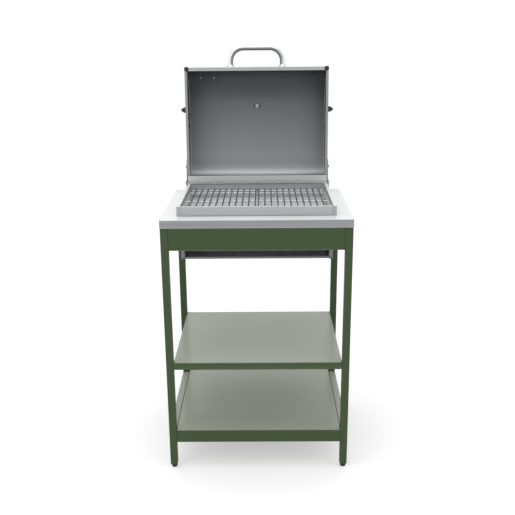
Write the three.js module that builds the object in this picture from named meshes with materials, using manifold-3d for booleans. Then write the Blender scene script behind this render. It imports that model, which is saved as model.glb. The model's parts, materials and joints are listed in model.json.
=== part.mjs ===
// Charcoal grill on a steel table. A stainless firebox with a hinged lid is let into the worktop of a
// frame of square tube, which also carries two shelves. Millimetres, +Z up, +X right, -Y is the front.
// The lid stands open against its hinge stop. The origin is on the floor, under the middle of the
// whole object's box.

import * as THREE from 'three';
import { mergeVertices } from 'three/addons/utils/BufferGeometryUtils.js';
import Module from 'manifold-3d';

const wasm = await Module();
wasm.setup();

// ---------------------------------------------------------------- driving dimensions

const gap = 0.3;                 // kept between pieces that touch
const roundSides = 16;           // facets of a small turned piece

// Table frame
const tableWidth = 624;
const tableDepth = 532;
const tableHeight = 895;         // floor to the worktop's top
const worktopEdge = 27;          // height of the worktop's folded edge
const worktopReturn = 15;        // flange folded in under that edge
const worktopSheet = 2;
const legSize = 25;              // square tube
const legWall = 1.5;
const legInset = 1;              // leg faces stand this far inside the worktop's edge
const legCorner = 2;             // outer corner radius of the tube
const footHeight = 15;
const footDiameter = 19;
const footFlange = 2.5;          // thickness of the flange under the tube
const footPlug = 14;             // length of the plug inside the tube
const frameSheet = 1.5;          // aprons, rails and shelves
const apronHeight = 74;
const channelDepth = 20;         // apron and rail flanges

// Shelves
const midShelfTop = 401;
const midShelfSetback = 12;      // its rear edge stands in front of the rear legs' back faces
const shelfEdge = 25;
const lowerShelfTop = 145.5;
const lowerRailHeight = 45;
const lowerShelfEdge = 20;

// Firebox, let into the worktop
const marginSide = 50.5;         // worktop left showing beside the firebox
const marginFront = 60.5;
const marginRear = 56;
const bodySheet = 1.5;
const rimHeight = 32;            // rim above the worktop
const sideRimWidth = 11.5;
const frontRimWidth = 3.5;
const rearRimWidth = 13;
const tubBelow = 147;            // firebox below the worktop's top
const tubFlange = 10;            // bottom flange that the ash tray slides on
const cutoutClearance = 1;
const traySlotHeight = 29;       // opening for the ash tray in the front wall
const pokerHoleDiameter = 8;     // hole in each side wall, for a skewer or a lifting hook
const pokerHoleDrop = 17;        // below the rim
const pokerHoleBehind = 66;      // behind the middle of the firebox

// Cooking grates, which lie side by side
const barDiameter = 5;
const barPitch = 22.2;
const grateSpacing = 11;         // between the two innermost bars
const grateSideMargin = 15;      // least room between the outermost bar and the side wall
const grateDrop = 16;            // bar tops below the rim
const grateEndClearance = 2.5;
const crossRodDiameter = 5;
const crossRodSink = 0.5;        // the weld pulls bar and rod together by this much
const crossRodWallClearance = 4;
const crossRodInsets = [9.5, 49.5];  // from the ends of the bars
const crossRodMiddle = -11;      // middle rod, from the grate's centre
const ledgeWidth = 6;
const ledgeHeight = 18;

// Charcoal tray and ash tray
const charcoalFloorDrop = 61;    // tray underside below the rim
const charcoalTrayHeight = 14;
const charcoalTrayClearance = 4; // to the side walls
const charcoalTrayEnds = 16;     // to the front and rear walls
const charcoalLedge = 12;
const charcoalLedgeInset = 33.5; // ledges end this far inside the tray's ends
const airSlotPitch = 46;
const airSlotMargin = 40;        // least room between the outermost slot and the tray's side
const airSlotWidth = 6;
const airSlotLength = 110;
const ashTrayHeight = 22;
const ashTrayLip = 8.5;          // low front wall
const ashTrayPull = 6;           // lip folded forward from it
const ashTrayClearance = 2;
const runnerNotchClearance = 1;  // round the runners, where they pass the front wall

// Lid
const openAngle = 93.4;          // degrees from closed to open
const lidRimGap = 3.5;           // closed lid above the rim
const lidOverhang = 5.1;         // closed lid behind the rear rim
const lidSetback = 0.6;          // closed lid behind the front fascia
const lidSideOverhang = 0.5;     // lid's ends outside the side rims
const lidSheet = 1.5;
const lidHeight = 165;
const frontRise = 25;            // straight part above the front edge, below the front curve
const rearRadius = 40;
const rearChamfer = 10;
const rearFlange = 17;
const frontFlange = 14;
const sideFlange = 9;

// Hinges: a strap on the lid and an ear on the firebox, outside each end
const pinForward = 3;            // pin in front of the lid's rear edge
const pinUp = 1.4;               // pin above the lid's opening plane
const pinDiameter = 6;
const pinHeadDiameter = 12;
const pinHeadHeight = 3;
const pinHoleClearance = 0.3;
const hingePlate = 2.5;
const strapLength = 88;
const strapNear = 4;             // strap's sides at its far end, above the opening plane
const strapFar = 22;
const eyeRadius = 9;
const earFootWidth = 22;
const earSpacerHeight = 20;
const strapBoltAlong = 60;
const strapBoltDiameter = 5;
const strapBoltHead = 9.5;
const strapBoltHeadHeight = 3;

// Handle
const handleSpread = 188;        // between the two legs' centres
const handleReach = 66;          // centreline beyond the lid's front
const handleDiameter = 18;
const handleBend = 46;
const handleUp = 25;             // above the opening plane
const ferruleDiameter = 30;
const ferruleHeight = 7;

// Corner bumpers
const bumperDiameter = 17;
const bumperThickness = 2.9;
const bumperInset = 7.5;
const bumperStem = 6;
const bumperBarb = 10;
const bumperBarbHeight = 4;

// Dampers on the lid's ends
const damperAlong = 206;         // pivot from the lid's rear edge
const damperUp = 95;
const damperRadius = 36;
const damperArm = 60;            // pivot to knob
const damperArmWidth = 18;
const ventDiameter = 13;
const ventCircle = 20;
const ventCount = 4;
const pivotDiameter = 6;
const pivotHeadDiameter = 12;
const pivotHeadHeight = 3;
const knobDiameter = 21;
const knobLength = 23;

// Thermometer in the lid
const gaugeBehindCurve = 2;      // on the flat top, behind the start of the front curve
const gaugeDiameter = 56;
const gaugeDepth = 18;
const gaugeStem = 8;
const gaugeStemLength = 45;
const wingSpan = 27;

// Blank badge
const badgeAngle = 42;           // up the front curve, in degrees
const badgeFromEnd = 74;         // its middle, from the lid's left end
const badgeWidth = 76;
const badgeHeight = 20;
const badgeSheet = 1;
const rivetSpacing = 51;
const rivetDiameter = 4;
const rivetHead = 9;

// ---------------------------------------------------------------- finishes

const finish = (color, roughness, metalness, extra = {}) =>
  () => new THREE.MeshStandardMaterial({ color, roughness, metalness, ...extra });
const greenPaint = finish(0x45533b, 0.5, 0.1);
const shelfPaint = finish(0x8f978a, 0.35, 0.1);
const stainless = finish(0xaaabaf, 0.35, 1.0);
const brushedTop = finish(0xdedfdf, 0.4, 1.0);
const lidSteel = finish(0x8a8b8d, 0.4, 1.0);
const brightSteel = finish(0xd0d1d2, 0.15, 1.0);
const blackPlastic = finish(0x1c1d1e, 0.5, 0.0);
const whiteDial = finish(0xf2f2ee, 0.6, 0.0);
const redPaint = finish(0xb02018, 0.5, 0.0);
const clearGlass = finish(0xe8f0f0, 0.05, 0.0, { transparent: true, opacity: 0.3 });

// ---------------------------------------------------------------- solids

// A geometry's position alone, its shared vertices merged, with its faces turned outwards.
function closed(geometry) {
  const bare = new THREE.BufferGeometry();
  bare.setAttribute('position', geometry.getAttribute('position').clone());
  if (geometry.index) bare.setIndex(geometry.index.clone());
  const merged = mergeVertices(bare, 1e-4);
  const at = merged.getAttribute('position');
  const index = Array.from(merged.index.array);
  const [a, b, c] = [new THREE.Vector3(), new THREE.Vector3(), new THREE.Vector3()];
  const kept = [];
  let volume = 0;
  for (let i = 0; i < index.length; i += 3) {
    const [p, q, r] = index.slice(i, i + 3);
    if (p === q || q === r || r === p) continue;
    kept.push([p, q, r]);
    volume += a.fromBufferAttribute(at, p).dot(
      b.fromBufferAttribute(at, q).cross(c.fromBufferAttribute(at, r)));
  }
  merged.setIndex(kept.flatMap(([p, q, r]) => (volume < 0 ? [p, r, q] : [p, q, r])));
  return merged;
}

function manifoldOf(geometry) {
  const shape = closed(geometry);
  return new wasm.Manifold(new wasm.Mesh({
    numProp: 3,
    vertProperties: new Float32Array(shape.getAttribute('position').array),
    triVerts: new Uint32Array(shape.index.array),
  }));
}

function geometryOf(manifold) {
  const mesh = manifold.getMesh();
  const geometry = new THREE.BufferGeometry();
  geometry.setAttribute('position', new THREE.BufferAttribute(mesh.vertProperties, 3));
  geometry.setIndex(new THREE.BufferAttribute(mesh.triVerts, 1));
  return geometry;
}

// All the given geometries as one solid.
function join(...pieces) {
  return geometryOf(pieces.map(manifoldOf).reduce((whole, next) => whole.add(next)));
}

// The first geometry with the others taken out of it.
function cut(piece, ...tools) {
  return geometryOf(tools.map(manifoldOf).reduce((left, next) => left.subtract(next), manifoldOf(piece)));
}

// A box between two limits along each axis.
function block([x0, x1], [y0, y1], [z0, z1]) {
  const box = new THREE.BoxGeometry(x1 - x0, y1 - y0, z1 - z0);
  return box.translate((x0 + x1) / 2, (y0 + y1) / 2, (z0 + z1) / 2);
}

const axisX = new THREE.Vector3(1, 0, 0);
const axisY = new THREE.Vector3(0, 1, 0);
const axisZ = new THREE.Vector3(0, 0, 1);

// A profile of [radius, height] pairs that starts and ends on the axis, or closes on itself, turned
// about an axis through `at` that points along `direction`.
function turned(profile, at, direction, sides = roundSides) {
  const points = profile.map(([radius, height]) => new THREE.Vector2(radius, height));
  const lathe = new THREE.LatheGeometry(points, sides);
  lathe.applyQuaternion(new THREE.Quaternion().setFromUnitVectors(axisY, direction));
  return lathe.translate(at.x, at.y, at.z);
}

// A plain round bar from `at` along `direction`.
function roundBar(diameter, length, at, direction, sides = roundSides) {
  const r = diameter / 2;
  return turned([[0, 0], [r, 0], [r, length], [0, length]], at, direction, sides);
}

// A shape drawn in (Y, Z) and carried along X between two limits.
function alongX(shape, [x0, x1]) {
  const bar = new THREE.ExtrudeGeometry(shape, { depth: x1 - x0, bevelEnabled: false });
  bar.applyMatrix4(new THREE.Matrix4().makeBasis(axisY, axisZ, axisX));
  return bar.translate(x0, 0, 0);
}

function polygon(points) {
  return new THREE.Shape(points.map(([u, v]) => new THREE.Vector2(u, v)));
}

// ---------------------------------------------------------------- scene graph

const grill = new THREE.Group();

function place(parent, name, geometry, material) {
  const shape = closed(geometry);
  shape.computeVertexNormals();
  const mesh = new THREE.Mesh(shape, material());
  mesh.name = name;
  parent.add(mesh);
  return mesh;
}

const sides = [['left', -1], ['right', 1]];
const ends = [['front', -1], ['rear', 1]];

// Limits mirrored to the side that `sign` names, low value first.
const mirrored = (sign, [near, far]) => (sign > 0 ? [near, far] : [-far, -near]);

// ---------------------------------------------------------------- worktop

const halfWidth = tableWidth / 2;
const halfDepth = tableDepth / 2;
const frameTop = tableHeight - worktopEdge;

const bodyHalf = halfWidth - marginSide;
const bodyFront = -halfDepth + marginFront;
const bodyRear = halfDepth - marginRear;
const rimTop = tableHeight + rimHeight;
const innerHalf = bodyHalf - sideRimWidth;
const innerFront = bodyFront + frontRimWidth;
const innerRear = bodyRear - rearRimWidth;
const innerMiddle = (innerFront + innerRear) / 2;
const tubHalf = innerHalf + bodySheet;
const tubFront = innerFront - bodySheet;
const tubRear = innerRear + bodySheet;
const tubBottom = tableHeight - tubBelow;

{
  const under = tableHeight - worktopSheet;
  const outer = block([-halfWidth, halfWidth], [-halfDepth, halfDepth], [frameTop, tableHeight]);
  const insideX = halfWidth - worktopSheet;
  const insideY = halfDepth - worktopSheet;
  const pocket = block([-insideX, insideX], [-insideY, insideY], [frameTop + worktopSheet, under]);
  const mouthX = halfWidth - worktopReturn;
  const mouthY = halfDepth - worktopReturn;
  const mouth = block([-mouthX, mouthX], [-mouthY, mouthY], [frameTop - 1, under - 1]);
  const cutout = block([-tubHalf - cutoutClearance, tubHalf + cutoutClearance],
    [tubFront - cutoutClearance / 2, tubRear + cutoutClearance], [under - 2, tableHeight + 1]);
  place(grill, 'worktop', cut(outer, pocket, mouth, cutout), brushedTop);
}

// ---------------------------------------------------------------- legs and feet

const legOuterX = halfWidth - legInset;
const legOuterY = halfDepth - legInset;
const legInnerX = legOuterX - legSize;
const legInnerY = legOuterY - legSize;

function squareTube(size, wall, corner, length) {
  const h = size / 2;
  const outline = new THREE.Shape();
  outline.moveTo(h, -h + corner);
  outline.absarc(h - corner, h - corner, corner, 0, Math.PI / 2);
  outline.absarc(-h + corner, h - corner, corner, Math.PI / 2, Math.PI);
  outline.absarc(-h + corner, -h + corner, corner, Math.PI, Math.PI * 1.5);
  outline.absarc(h - corner, -h + corner, corner, Math.PI * 1.5, Math.PI * 2);
  const bore = h - wall;
  outline.holes.push(new THREE.Path([[bore, -bore], [-bore, -bore], [-bore, bore], [bore, bore]]
    .map(([x, y]) => new THREE.Vector2(x, y))));
  return new THREE.ExtrudeGeometry(outline, { depth: length, bevelEnabled: false, curveSegments: 3 });
}

for (const [end, signY] of ends) {
  for (const [side, signX] of sides) {
    const x = signX * (legOuterX - legSize / 2);
    const y = signY * (legOuterY - legSize / 2);
    const leg = squareTube(legSize, legWall, legCorner, frameTop - gap - footHeight);
    place(grill, `leg_${end}_${side}`, leg.translate(x, y, footHeight), greenPaint);

    const flangeTop = footHeight - gap;
    const flangeHalf = legSize / 2 - 1;
    const plugHalf = legSize / 2 - legWall - gap;
    const foot = join(
      roundBar(footDiameter, flangeTop - 1, new THREE.Vector3(0, 0, 0), axisZ),
      block([-flangeHalf, flangeHalf], [-flangeHalf, flangeHalf], [flangeTop - footFlange, flangeTop]),
      block([-plugHalf, plugHalf], [-plugHalf, plugHalf], [flangeTop - 1, footHeight + footPlug]));
    place(grill, `foot_${end}_${side}`, foot.translate(x, y, 0), blackPlastic);
  }
}

// ---------------------------------------------------------------- aprons and shelf rails

// A folded channel with its web to the front, carried along X: web, top flange and bottom flange.
function channel(length, height, depth, sheet) {
  return alongX(polygon([[0, 0], [depth, 0], [depth, sheet], [sheet, sheet],
    [sheet, height - sheet], [depth, height - sheet], [depth, height], [0, height]]),
  [-length / 2, length / 2]);
}

// An angle with its web to the front and one flange at the bottom.
function angle(length, height, depth, sheet) {
  return alongX(polygon([[0, 0], [depth, 0], [depth, sheet], [sheet, sheet], [sheet, height], [0, height]]),
    [-length / 2, length / 2]);
}

const spanX = 2 * (legInnerX - gap);
const spanY = 2 * (legInnerY - gap);
const apronBottom = frameTop - gap - apronHeight;

for (const [end, signY] of ends) {
  const apron = channel(spanX, apronHeight, channelDepth, frameSheet);
  const rail = angle(spanX, lowerRailHeight, channelDepth, frameSheet);
  for (const piece of [apron, rail]) {
    piece.translate(0, -legOuterY, 0);
    if (signY > 0) piece.rotateZ(Math.PI);
  }
  place(grill, `apron_${end}`, apron.translate(0, 0, apronBottom), greenPaint);
  place(grill, `lower_rail_${end}`, rail.translate(0, 0, lowerShelfTop - lowerRailHeight), greenPaint);
}

for (const [side, signX] of sides) {
  const apron = channel(spanY, apronHeight, channelDepth, frameSheet).translate(0, -legOuterX, apronBottom);
  place(grill, `apron_${side}`, apron.rotateZ(signX * Math.PI / 2), greenPaint);

  const rail = squareTube(legSize, legWall, legCorner, spanY).rotateX(Math.PI / 2);
  rail.translate(signX * (legOuterX - legSize / 2), spanY / 2, lowerShelfTop - legSize / 2);
  place(grill, `lower_rail_${side}`, rail, greenPaint);
}

// ---------------------------------------------------------------- shelves

// A sheet with its four edges folded down.
function foldedShelf([x0, x1], [y0, y1], top, edge, sheet) {
  const outer = block([x0, x1], [y0, y1], [top - edge, top]);
  const under = block([x0 + sheet, x1 - sheet], [y0 + sheet, y1 - sheet], [top - edge - 1, top - sheet]);
  return cut(outer, under);
}

const shelfHalf = legInnerX - gap;
place(grill, 'mid_shelf', foldedShelf([-shelfHalf, shelfHalf],
  [-legOuterY, legOuterY - midShelfSetback], midShelfTop, shelfEdge, frameSheet), shelfPaint);

const lowerShelfY = legOuterY - frameSheet - gap;
place(grill, 'lower_shelf', foldedShelf([-shelfHalf, shelfHalf],
  [-lowerShelfY, lowerShelfY], lowerShelfTop, lowerShelfEdge, frameSheet), shelfPaint);

// ---------------------------------------------------------------- firebox

const wallTop = rimTop - bodySheet - gap;
const charcoalBottom = rimTop - charcoalFloorDrop;
{
  const shell = block([-tubHalf, tubHalf], [tubFront, tubRear], [tubBottom, wallTop]);
  const inside = block([-innerHalf, innerHalf], [innerFront, innerRear],
    [tubBottom + bodySheet, wallTop + 1]);
  const flangeHalf = innerHalf - tubFlange;
  const bottomMouth = block([-flangeHalf, flangeHalf], [innerFront, innerRear - tubFlange],
    [tubBottom - 1, tubBottom + bodySheet + 1]);
  const traySlot = block([-flangeHalf, flangeHalf], [tubFront - 1, innerFront + 1],
    [tubBottom - 1, tubBottom + traySlotHeight]);
  const notchHalf = innerHalf - ashTrayClearance + runnerNotchClearance;
  const runnerNotch = block([-notchHalf, notchHalf], [tubFront - 1, innerFront + 1],
    [tubBottom + bodySheet, tubBottom + 2 * bodySheet + gap + runnerNotchClearance]);
  const holeLength = 2 * tubHalf + 2;
  const pokerHole = roundBar(pokerHoleDiameter, holeLength, new THREE.Vector3(
    -holeLength / 2, innerMiddle + pokerHoleBehind, rimTop - pokerHoleDrop), axisX);
  const walls = cut(shell, inside, bottomMouth, traySlot, runnerNotch, pokerHole);
  const ledgeEnds = charcoalTrayEnds + charcoalLedgeInset;
  const ledgeY = [innerFront + ledgeEnds, innerRear - ledgeEnds];
  const ledgeTop = charcoalBottom - gap;
  const ledges = sides.map(([, sign]) => block(
    mirrored(sign, [innerHalf - charcoalLedge, innerHalf + bodySheet / 2]),
    ledgeY, [ledgeTop - bodySheet, ledgeTop]));
  place(grill, 'firebox', join(walls, ...ledges), stainless);
}

// The rim that hides the firebox's top edge and stands on the worktop. The side members run the full
// depth and their folded tabs close both ends; the front and rear members fit between them.
const rimFoot = tableHeight + gap;
for (const [side, sign] of sides) {
  const across = mirrored(sign, [innerHalf, bodyHalf]);
  const tab = (y) => block(across, y, [rimFoot, rimTop]);
  place(grill, `side_rim_${side}`, join(
    block(across, [bodyFront, bodyRear], [rimTop - bodySheet, rimTop]),
    block(mirrored(sign, [bodyHalf - bodySheet, bodyHalf]), [bodyFront, bodyRear], [rimFoot, rimTop]),
    tab([bodyFront, bodyFront + bodySheet]),
    tab([bodyRear - bodySheet, bodyRear])), stainless);
}

const memberHalf = innerHalf - gap;
place(grill, 'front_fascia', join(
  block([-memberHalf, memberHalf], [bodyFront, innerFront], [rimTop - bodySheet, rimTop]),
  block([-memberHalf, memberHalf], [bodyFront, bodyFront + bodySheet], [rimFoot, rimTop])), stainless);
place(grill, 'rear_rim', join(
  block([-memberHalf, memberHalf], [innerRear, bodyRear], [rimTop - bodySheet, rimTop]),
  block([-memberHalf, memberHalf], [bodyRear - bodySheet, bodyRear], [rimFoot, rimTop])), stainless);

// ---------------------------------------------------------------- cooking grates and their ledges

const barTop = rimTop - grateDrop;
const barCentre = barTop - barDiameter / 2;
const rodCentre = barCentre - barDiameter / 2 - crossRodDiameter / 2 + crossRodSink;
const barEnds = [innerFront + grateEndClearance, innerRear - grateEndClearance];
const ledgeTop = barTop - barDiameter - gap;

for (const [end, sign] of ends) {
  const wall = sign > 0 ? innerRear - gap : innerFront + gap;
  const lip = sign > 0 ? [wall - ledgeWidth, wall] : [wall, wall + ledgeWidth];
  const web = sign > 0 ? [wall - bodySheet, wall] : [wall, wall + bodySheet];
  const half = innerHalf - 2 * gap;
  place(grill, `grate_ledge_${end}`, join(
    block([-half, half], lip, [ledgeTop - bodySheet, ledgeTop]),
    block([-half, half], web, [ledgeTop - ledgeHeight, ledgeTop])), stainless);
}

const grateBarSides = 8;
const barsPerGrate = Math.floor((innerHalf - grateSpacing / 2 - grateSideMargin) / barPitch) + 1;
for (const [side, sign] of sides) {
  const bars = Array.from({ length: barsPerGrate }, (_, i) => {
    const x = sign * (grateSpacing / 2 + i * barPitch);
    return roundBar(barDiameter, barEnds[1] - barEnds[0],
      new THREE.Vector3(x, barEnds[0], barCentre), axisY, grateBarSides);
  });
  const rodY = [
    ...crossRodInsets.map((inset) => barEnds[0] + inset),
    innerMiddle + crossRodMiddle,
    ...crossRodInsets.map((inset) => barEnds[1] - inset),
  ];
  const rodX = mirrored(sign, [grateSpacing / 2 - barDiameter / 2, innerHalf - crossRodWallClearance]);
  const rods = rodY.map((y) => roundBar(crossRodDiameter, rodX[1] - rodX[0],
    new THREE.Vector3(rodX[0], y, rodCentre), axisX, grateBarSides));
  place(grill, `cooking_grate_${side}`, join(...bars, ...rods), brightSteel);
}

// ---------------------------------------------------------------- charcoal tray and ash tray

// A pan: a floor with four walls, the front one of its own height.
function pan([x0, x1], [y0, y1], bottom, height, frontHeight, sheet) {
  const outer = block([x0, x1], [y0, y1], [bottom, bottom + height]);
  const inside = block([x0 + sheet, x1 - sheet], [y0 + sheet, y1 - sheet],
    [bottom + sheet, bottom + height + 1]);
  const overFront = block([x0 + sheet, x1 - sheet], [y0 - 1, y0 + sheet + 1],
    [bottom + frontHeight, bottom + height + 1]);
  return frontHeight < height ? cut(outer, inside, overFront) : cut(outer, inside);
}

{
  const half = innerHalf - charcoalTrayClearance;
  const y = [innerFront + charcoalTrayEnds, innerRear - charcoalTrayEnds];
  const airSlots = 2 * Math.floor((half - airSlotMargin) / airSlotPitch) + 1;
  const slots = Array.from({ length: airSlots }, (_, i) => {
    const x = (i - (airSlots - 1) / 2) * airSlotPitch;
    return block([x - airSlotWidth / 2, x + airSlotWidth / 2],
      [innerMiddle - charcoalTrayEnds - airSlotLength, innerMiddle - charcoalTrayEnds],
      [charcoalBottom - 1, charcoalBottom + bodySheet + 1]);
  });
  place(grill, 'charcoal_tray', cut(
    pan([-half, half], y, charcoalBottom, charcoalTrayHeight, charcoalTrayHeight, bodySheet),
    ...slots), stainless);
}

{
  const half = innerHalf - tubFlange - ashTrayClearance;
  const bottom = tubBottom + bodySheet + gap;
  const front = tubFront;
  const runner = (sign) => block(
    mirrored(sign, [half - bodySheet, innerHalf - ashTrayClearance]),
    [innerFront + ashTrayClearance, innerRear - ashTrayClearance], [bottom, bottom + bodySheet]);
  place(grill, 'ash_tray', join(
    pan([-half, half], [front, innerRear - ashTrayClearance], bottom, ashTrayHeight, ashTrayLip, bodySheet),
    block([-half, half], [front - ashTrayPull, front + bodySheet / 2],
      [bottom + ashTrayLip - bodySheet, bottom + ashTrayLip]),
    runner(-1), runner(1)), stainless);
}

// ---------------------------------------------------------------- lid

// The lid's own frame is closed: its origin is the hinge pin, `along` runs from the lid's rear edge to
// its front and `up` from its opening plane. The group turns it open about the pin.
const lidLength = bodyRear - bodyFront + lidOverhang - lidSetback;
const pinY = bodyRear + lidOverhang - pinForward;
const pinZ = rimTop + lidRimGap + pinUp;
const lid = new THREE.Group();
lid.position.set(0, pinY, pinZ);
lid.rotation.x = THREE.MathUtils.degToRad(-openAngle);
grill.add(lid);

const lidPoint = (x, along, up) => new THREE.Vector3(x, pinForward - along, up - pinUp);
const lidForward = new THREE.Vector3(0, -1, 0);
const lidHalf = bodyHalf + lidSideOverhang;
const lidEndInner = lidHalf - lidSheet;

// A shape drawn in (along, up) and carried along X between two limits.
function lidExtrusion(shape, [x0, x1]) {
  const bar = new THREE.ExtrudeGeometry(shape, { depth: x1 - x0, bevelEnabled: false });
  bar.applyMatrix4(new THREE.Matrix4().makeBasis(lidForward, axisZ, axisX.clone().negate()));
  return bar.translate(x1, pinForward, -pinUp);
}

const frontRadius = lidHeight - frontRise;
const lidFlat = lidLength - frontRadius;
const gaugeAlong = lidFlat - gaugeBehindCurve;
const quarter = Math.PI / 2;

// The lid's section, from the rear edge over the top to the front edge, `inside` mm within the outside.
function traceLid(path, inside) {
  const bevel = inside * Math.tan(Math.PI / 8);
  path.lineTo(rearChamfer + bevel, inside);
  path.lineTo(inside, rearChamfer + bevel);
  path.lineTo(inside, lidHeight - rearRadius);
  path.absarc(rearRadius, lidHeight - rearRadius, rearRadius - inside, 2 * quarter, quarter, true);
  path.absarc(lidFlat, frontRise, frontRadius - inside, quarter, 0, true);
  path.lineTo(lidLength - inside, inside);
}

const shellOutline = new THREE.Shape();
const insidePath = new THREE.Path();
shellOutline.moveTo(rearChamfer + rearFlange, 0);
traceLid(shellOutline, 0);
shellOutline.lineTo(lidLength - frontFlange, 0);
insidePath.moveTo(rearChamfer + rearFlange, lidSheet);
traceLid(insidePath, lidSheet);
insidePath.lineTo(lidLength - frontFlange, lidSheet);
const arcPoints = 12;
const shellShape = new THREE.Shape([...shellOutline.getPoints(arcPoints),
  ...insidePath.getPoints(arcPoints).reverse()]);

const badgeX = badgeFromEnd - lidHalf;
const badgeTurn = THREE.MathUtils.degToRad(badgeAngle);
const badgeNormal = new THREE.Vector3(0, -Math.cos(badgeTurn), Math.sin(badgeTurn));
const badgeFoot = (x, out) => lidPoint(x, lidFlat + (frontRadius + out) * Math.cos(badgeTurn),
  frontRise + (frontRadius + out) * Math.sin(badgeTurn));
const rivetX = [-1, 1].map((sign) => badgeX + sign * rivetSpacing / 2);
const bumperAt = (sign, up) => lidPoint(
  sign * (lidHalf - bumperInset), lidLength - bumperInset, up);
const handleX = handleSpread / 2;

{
  const half = lidEndInner - gap;
  const holeThrough = 4 * lidSheet;
  const stemHole = roundBar(gaugeStem + 2 * gap, holeThrough,
    lidPoint(0, gaugeAlong, lidHeight - 2 * lidSheet), axisZ);
  const rivetHoles = rivetX.map((x) => roundBar(rivetDiameter + 2 * gap, holeThrough,
    badgeFoot(x, -2.5 * lidSheet), badgeNormal, 12));
  const bumperHoles = sides.map(([, sign]) => roundBar(bumperStem + 2 * gap, holeThrough,
    bumperAt(sign, -lidSheet), axisZ, 12));
  place(lid, 'lid_shell', cut(lidExtrusion(shellShape, [-half, half]),
    stemHole, ...rivetHoles, ...bumperHoles), lidSteel);
}

// End plates, with a flange turned in along the opening plane and the vent holes under the damper.
const endOutline = new THREE.Shape();
endOutline.moveTo(lidLength / 2, 0);
traceLid(endOutline, 0);
const endShape = new THREE.Shape(endOutline.getPoints(arcPoints));

const ventAt = (sign, x, i) => {
  const turn = Math.PI / 4 + i * 2 * Math.PI / ventCount;
  return lidPoint(x, damperAlong + ventCircle * Math.cos(turn), damperUp + ventCircle * Math.sin(turn));
};

for (const [side, sign] of sides) {
  const plate = lidExtrusion(endShape, mirrored(sign, [lidEndInner, lidHalf]));
  const flange = block(mirrored(sign, [lidHalf - sideFlange, lidHalf - lidSheet / 2]),
    [pinForward - lidLength + frontFlange + gap, pinForward - rearChamfer - rearFlange - gap],
    [-pinUp, lidSheet - pinUp]);
  const through = 4 * lidSheet;
  const start = sign > 0 ? lidEndInner - lidSheet : -lidHalf - lidSheet;
  const holes = Array.from({ length: ventCount }, (_, i) =>
    roundBar(ventDiameter, through, ventAt(sign, start, i), axisX));
  const pivotHole = roundBar(pivotDiameter + 2 * gap, through,
    lidPoint(start, damperAlong, damperUp), axisX);
  const boltHole = roundBar(strapBoltDiameter + 2 * gap, through,
    lidPoint(start, strapBoltAlong, (strapNear + strapFar) / 2), axisX, 12);
  place(lid, `lid_end_${side}`, cut(join(plate, flange), ...holes, pivotHole, boltHole), lidSteel);
}

// ---------------------------------------------------------------- hinges

const strapInner = lidHalf + gap;
const strapOuter = strapInner + hingePlate;
const earInner = strapOuter + gap;
const earOuter = earInner + hingePlate;
const pinHole = pinDiameter + 2 * pinHoleClearance;

for (const [side, sign] of sides) {
  const outward = axisX.clone().multiplyScalar(sign);
  const strapBody = lidExtrusion(polygon([
    [pinForward - 1, pinUp - eyeRadius + 0.1], [strapLength, strapNear],
    [strapLength, strapFar], [pinForward - 1, pinUp + eyeRadius - 0.1]]),
  mirrored(sign, [strapInner, strapOuter]));
  const eye = roundBar(2 * eyeRadius, hingePlate, new THREE.Vector3(sign * strapInner, 0, 0), outward);
  const hole = roundBar(pinHole, hingePlate + 2, new THREE.Vector3(sign * (strapInner - 1), 0, 0), outward);
  const boltCentre = (strapNear + strapFar) / 2;
  const boltHole = roundBar(strapBoltDiameter + 2 * gap, hingePlate + 2,
    lidPoint(sign * (strapInner - 1), strapBoltAlong, boltCentre), outward, 12);
  place(lid, `hinge_strap_${side}`, cut(join(strapBody, eye), hole, boltHole), stainless);

  const nutTop = lidEndInner - gap;
  const shank = strapBoltDiameter / 2;
  const head = strapBoltHead / 2;
  place(lid, `strap_bolt_${side}`, turned([
    [0, 0], [head, 0], [head, strapBoltHeadHeight], [shank, strapBoltHeadHeight],
    [shank, strapOuter + gap - nutTop + strapBoltHeadHeight],
    [head, strapOuter + gap - nutTop + strapBoltHeadHeight],
    [head, strapOuter + gap - nutTop + 2 * strapBoltHeadHeight],
    [0, strapOuter + gap - nutTop + 2 * strapBoltHeadHeight]],
  lidPoint(sign * (nutTop - strapBoltHeadHeight), strapBoltAlong, boltCentre), outward, 12), blackPlastic);

  // The ear stands on the side rim's outer face, spaced out past the strap.
  const earFront = pinY - earFootWidth;
  const spacerTop = rimFoot + earSpacerHeight;
  const earPlate = alongX(polygon([
    [earFront, rimFoot + 1], [pinY, rimFoot + 1], [pinY + eyeRadius - 0.1, pinZ - 1],
    [pinY - eyeRadius + 0.1, pinZ - 1], [earFront, spacerTop]]),
  mirrored(sign, [earInner, earOuter]));
  const earEye = roundBar(2 * eyeRadius, hingePlate,
    new THREE.Vector3(sign * earInner, pinY, pinZ), outward);
  const spacer = block(mirrored(sign, [bodyHalf + gap, earInner + 1]),
    [earFront, bodyRear], [rimFoot + 1, spacerTop]);
  const earHole = roundBar(pinHole, hingePlate + 2,
    new THREE.Vector3(sign * (earInner - 1), pinY, pinZ), outward);
  place(grill, `hinge_ear_${side}`, cut(join(earPlate, earEye, spacer), earHole), stainless);

  const pinLength = earOuter + gap - strapInner;
  place(grill, `hinge_pin_${side}`, turned([
    [0, 0], [pinDiameter / 2, 0], [pinDiameter / 2, pinLength], [pinHeadDiameter / 2, pinLength],
    [pinHeadDiameter / 2, pinLength + pinHeadHeight], [0, pinLength + pinHeadHeight]],
  new THREE.Vector3(sign * strapInner, pinY, pinZ), outward), brightSteel);
}

// ---------------------------------------------------------------- handle

const handleEnd = lidLength + gap;
const handleTop = lidLength + handleReach;
const gripHalf = handleX - handleBend;
const bendLength = quarter * handleBend;
const handleLeg = handleTop - handleBend - handleEnd;
const handleLine = 2 * (gripHalf + bendLength + handleLeg);

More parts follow.
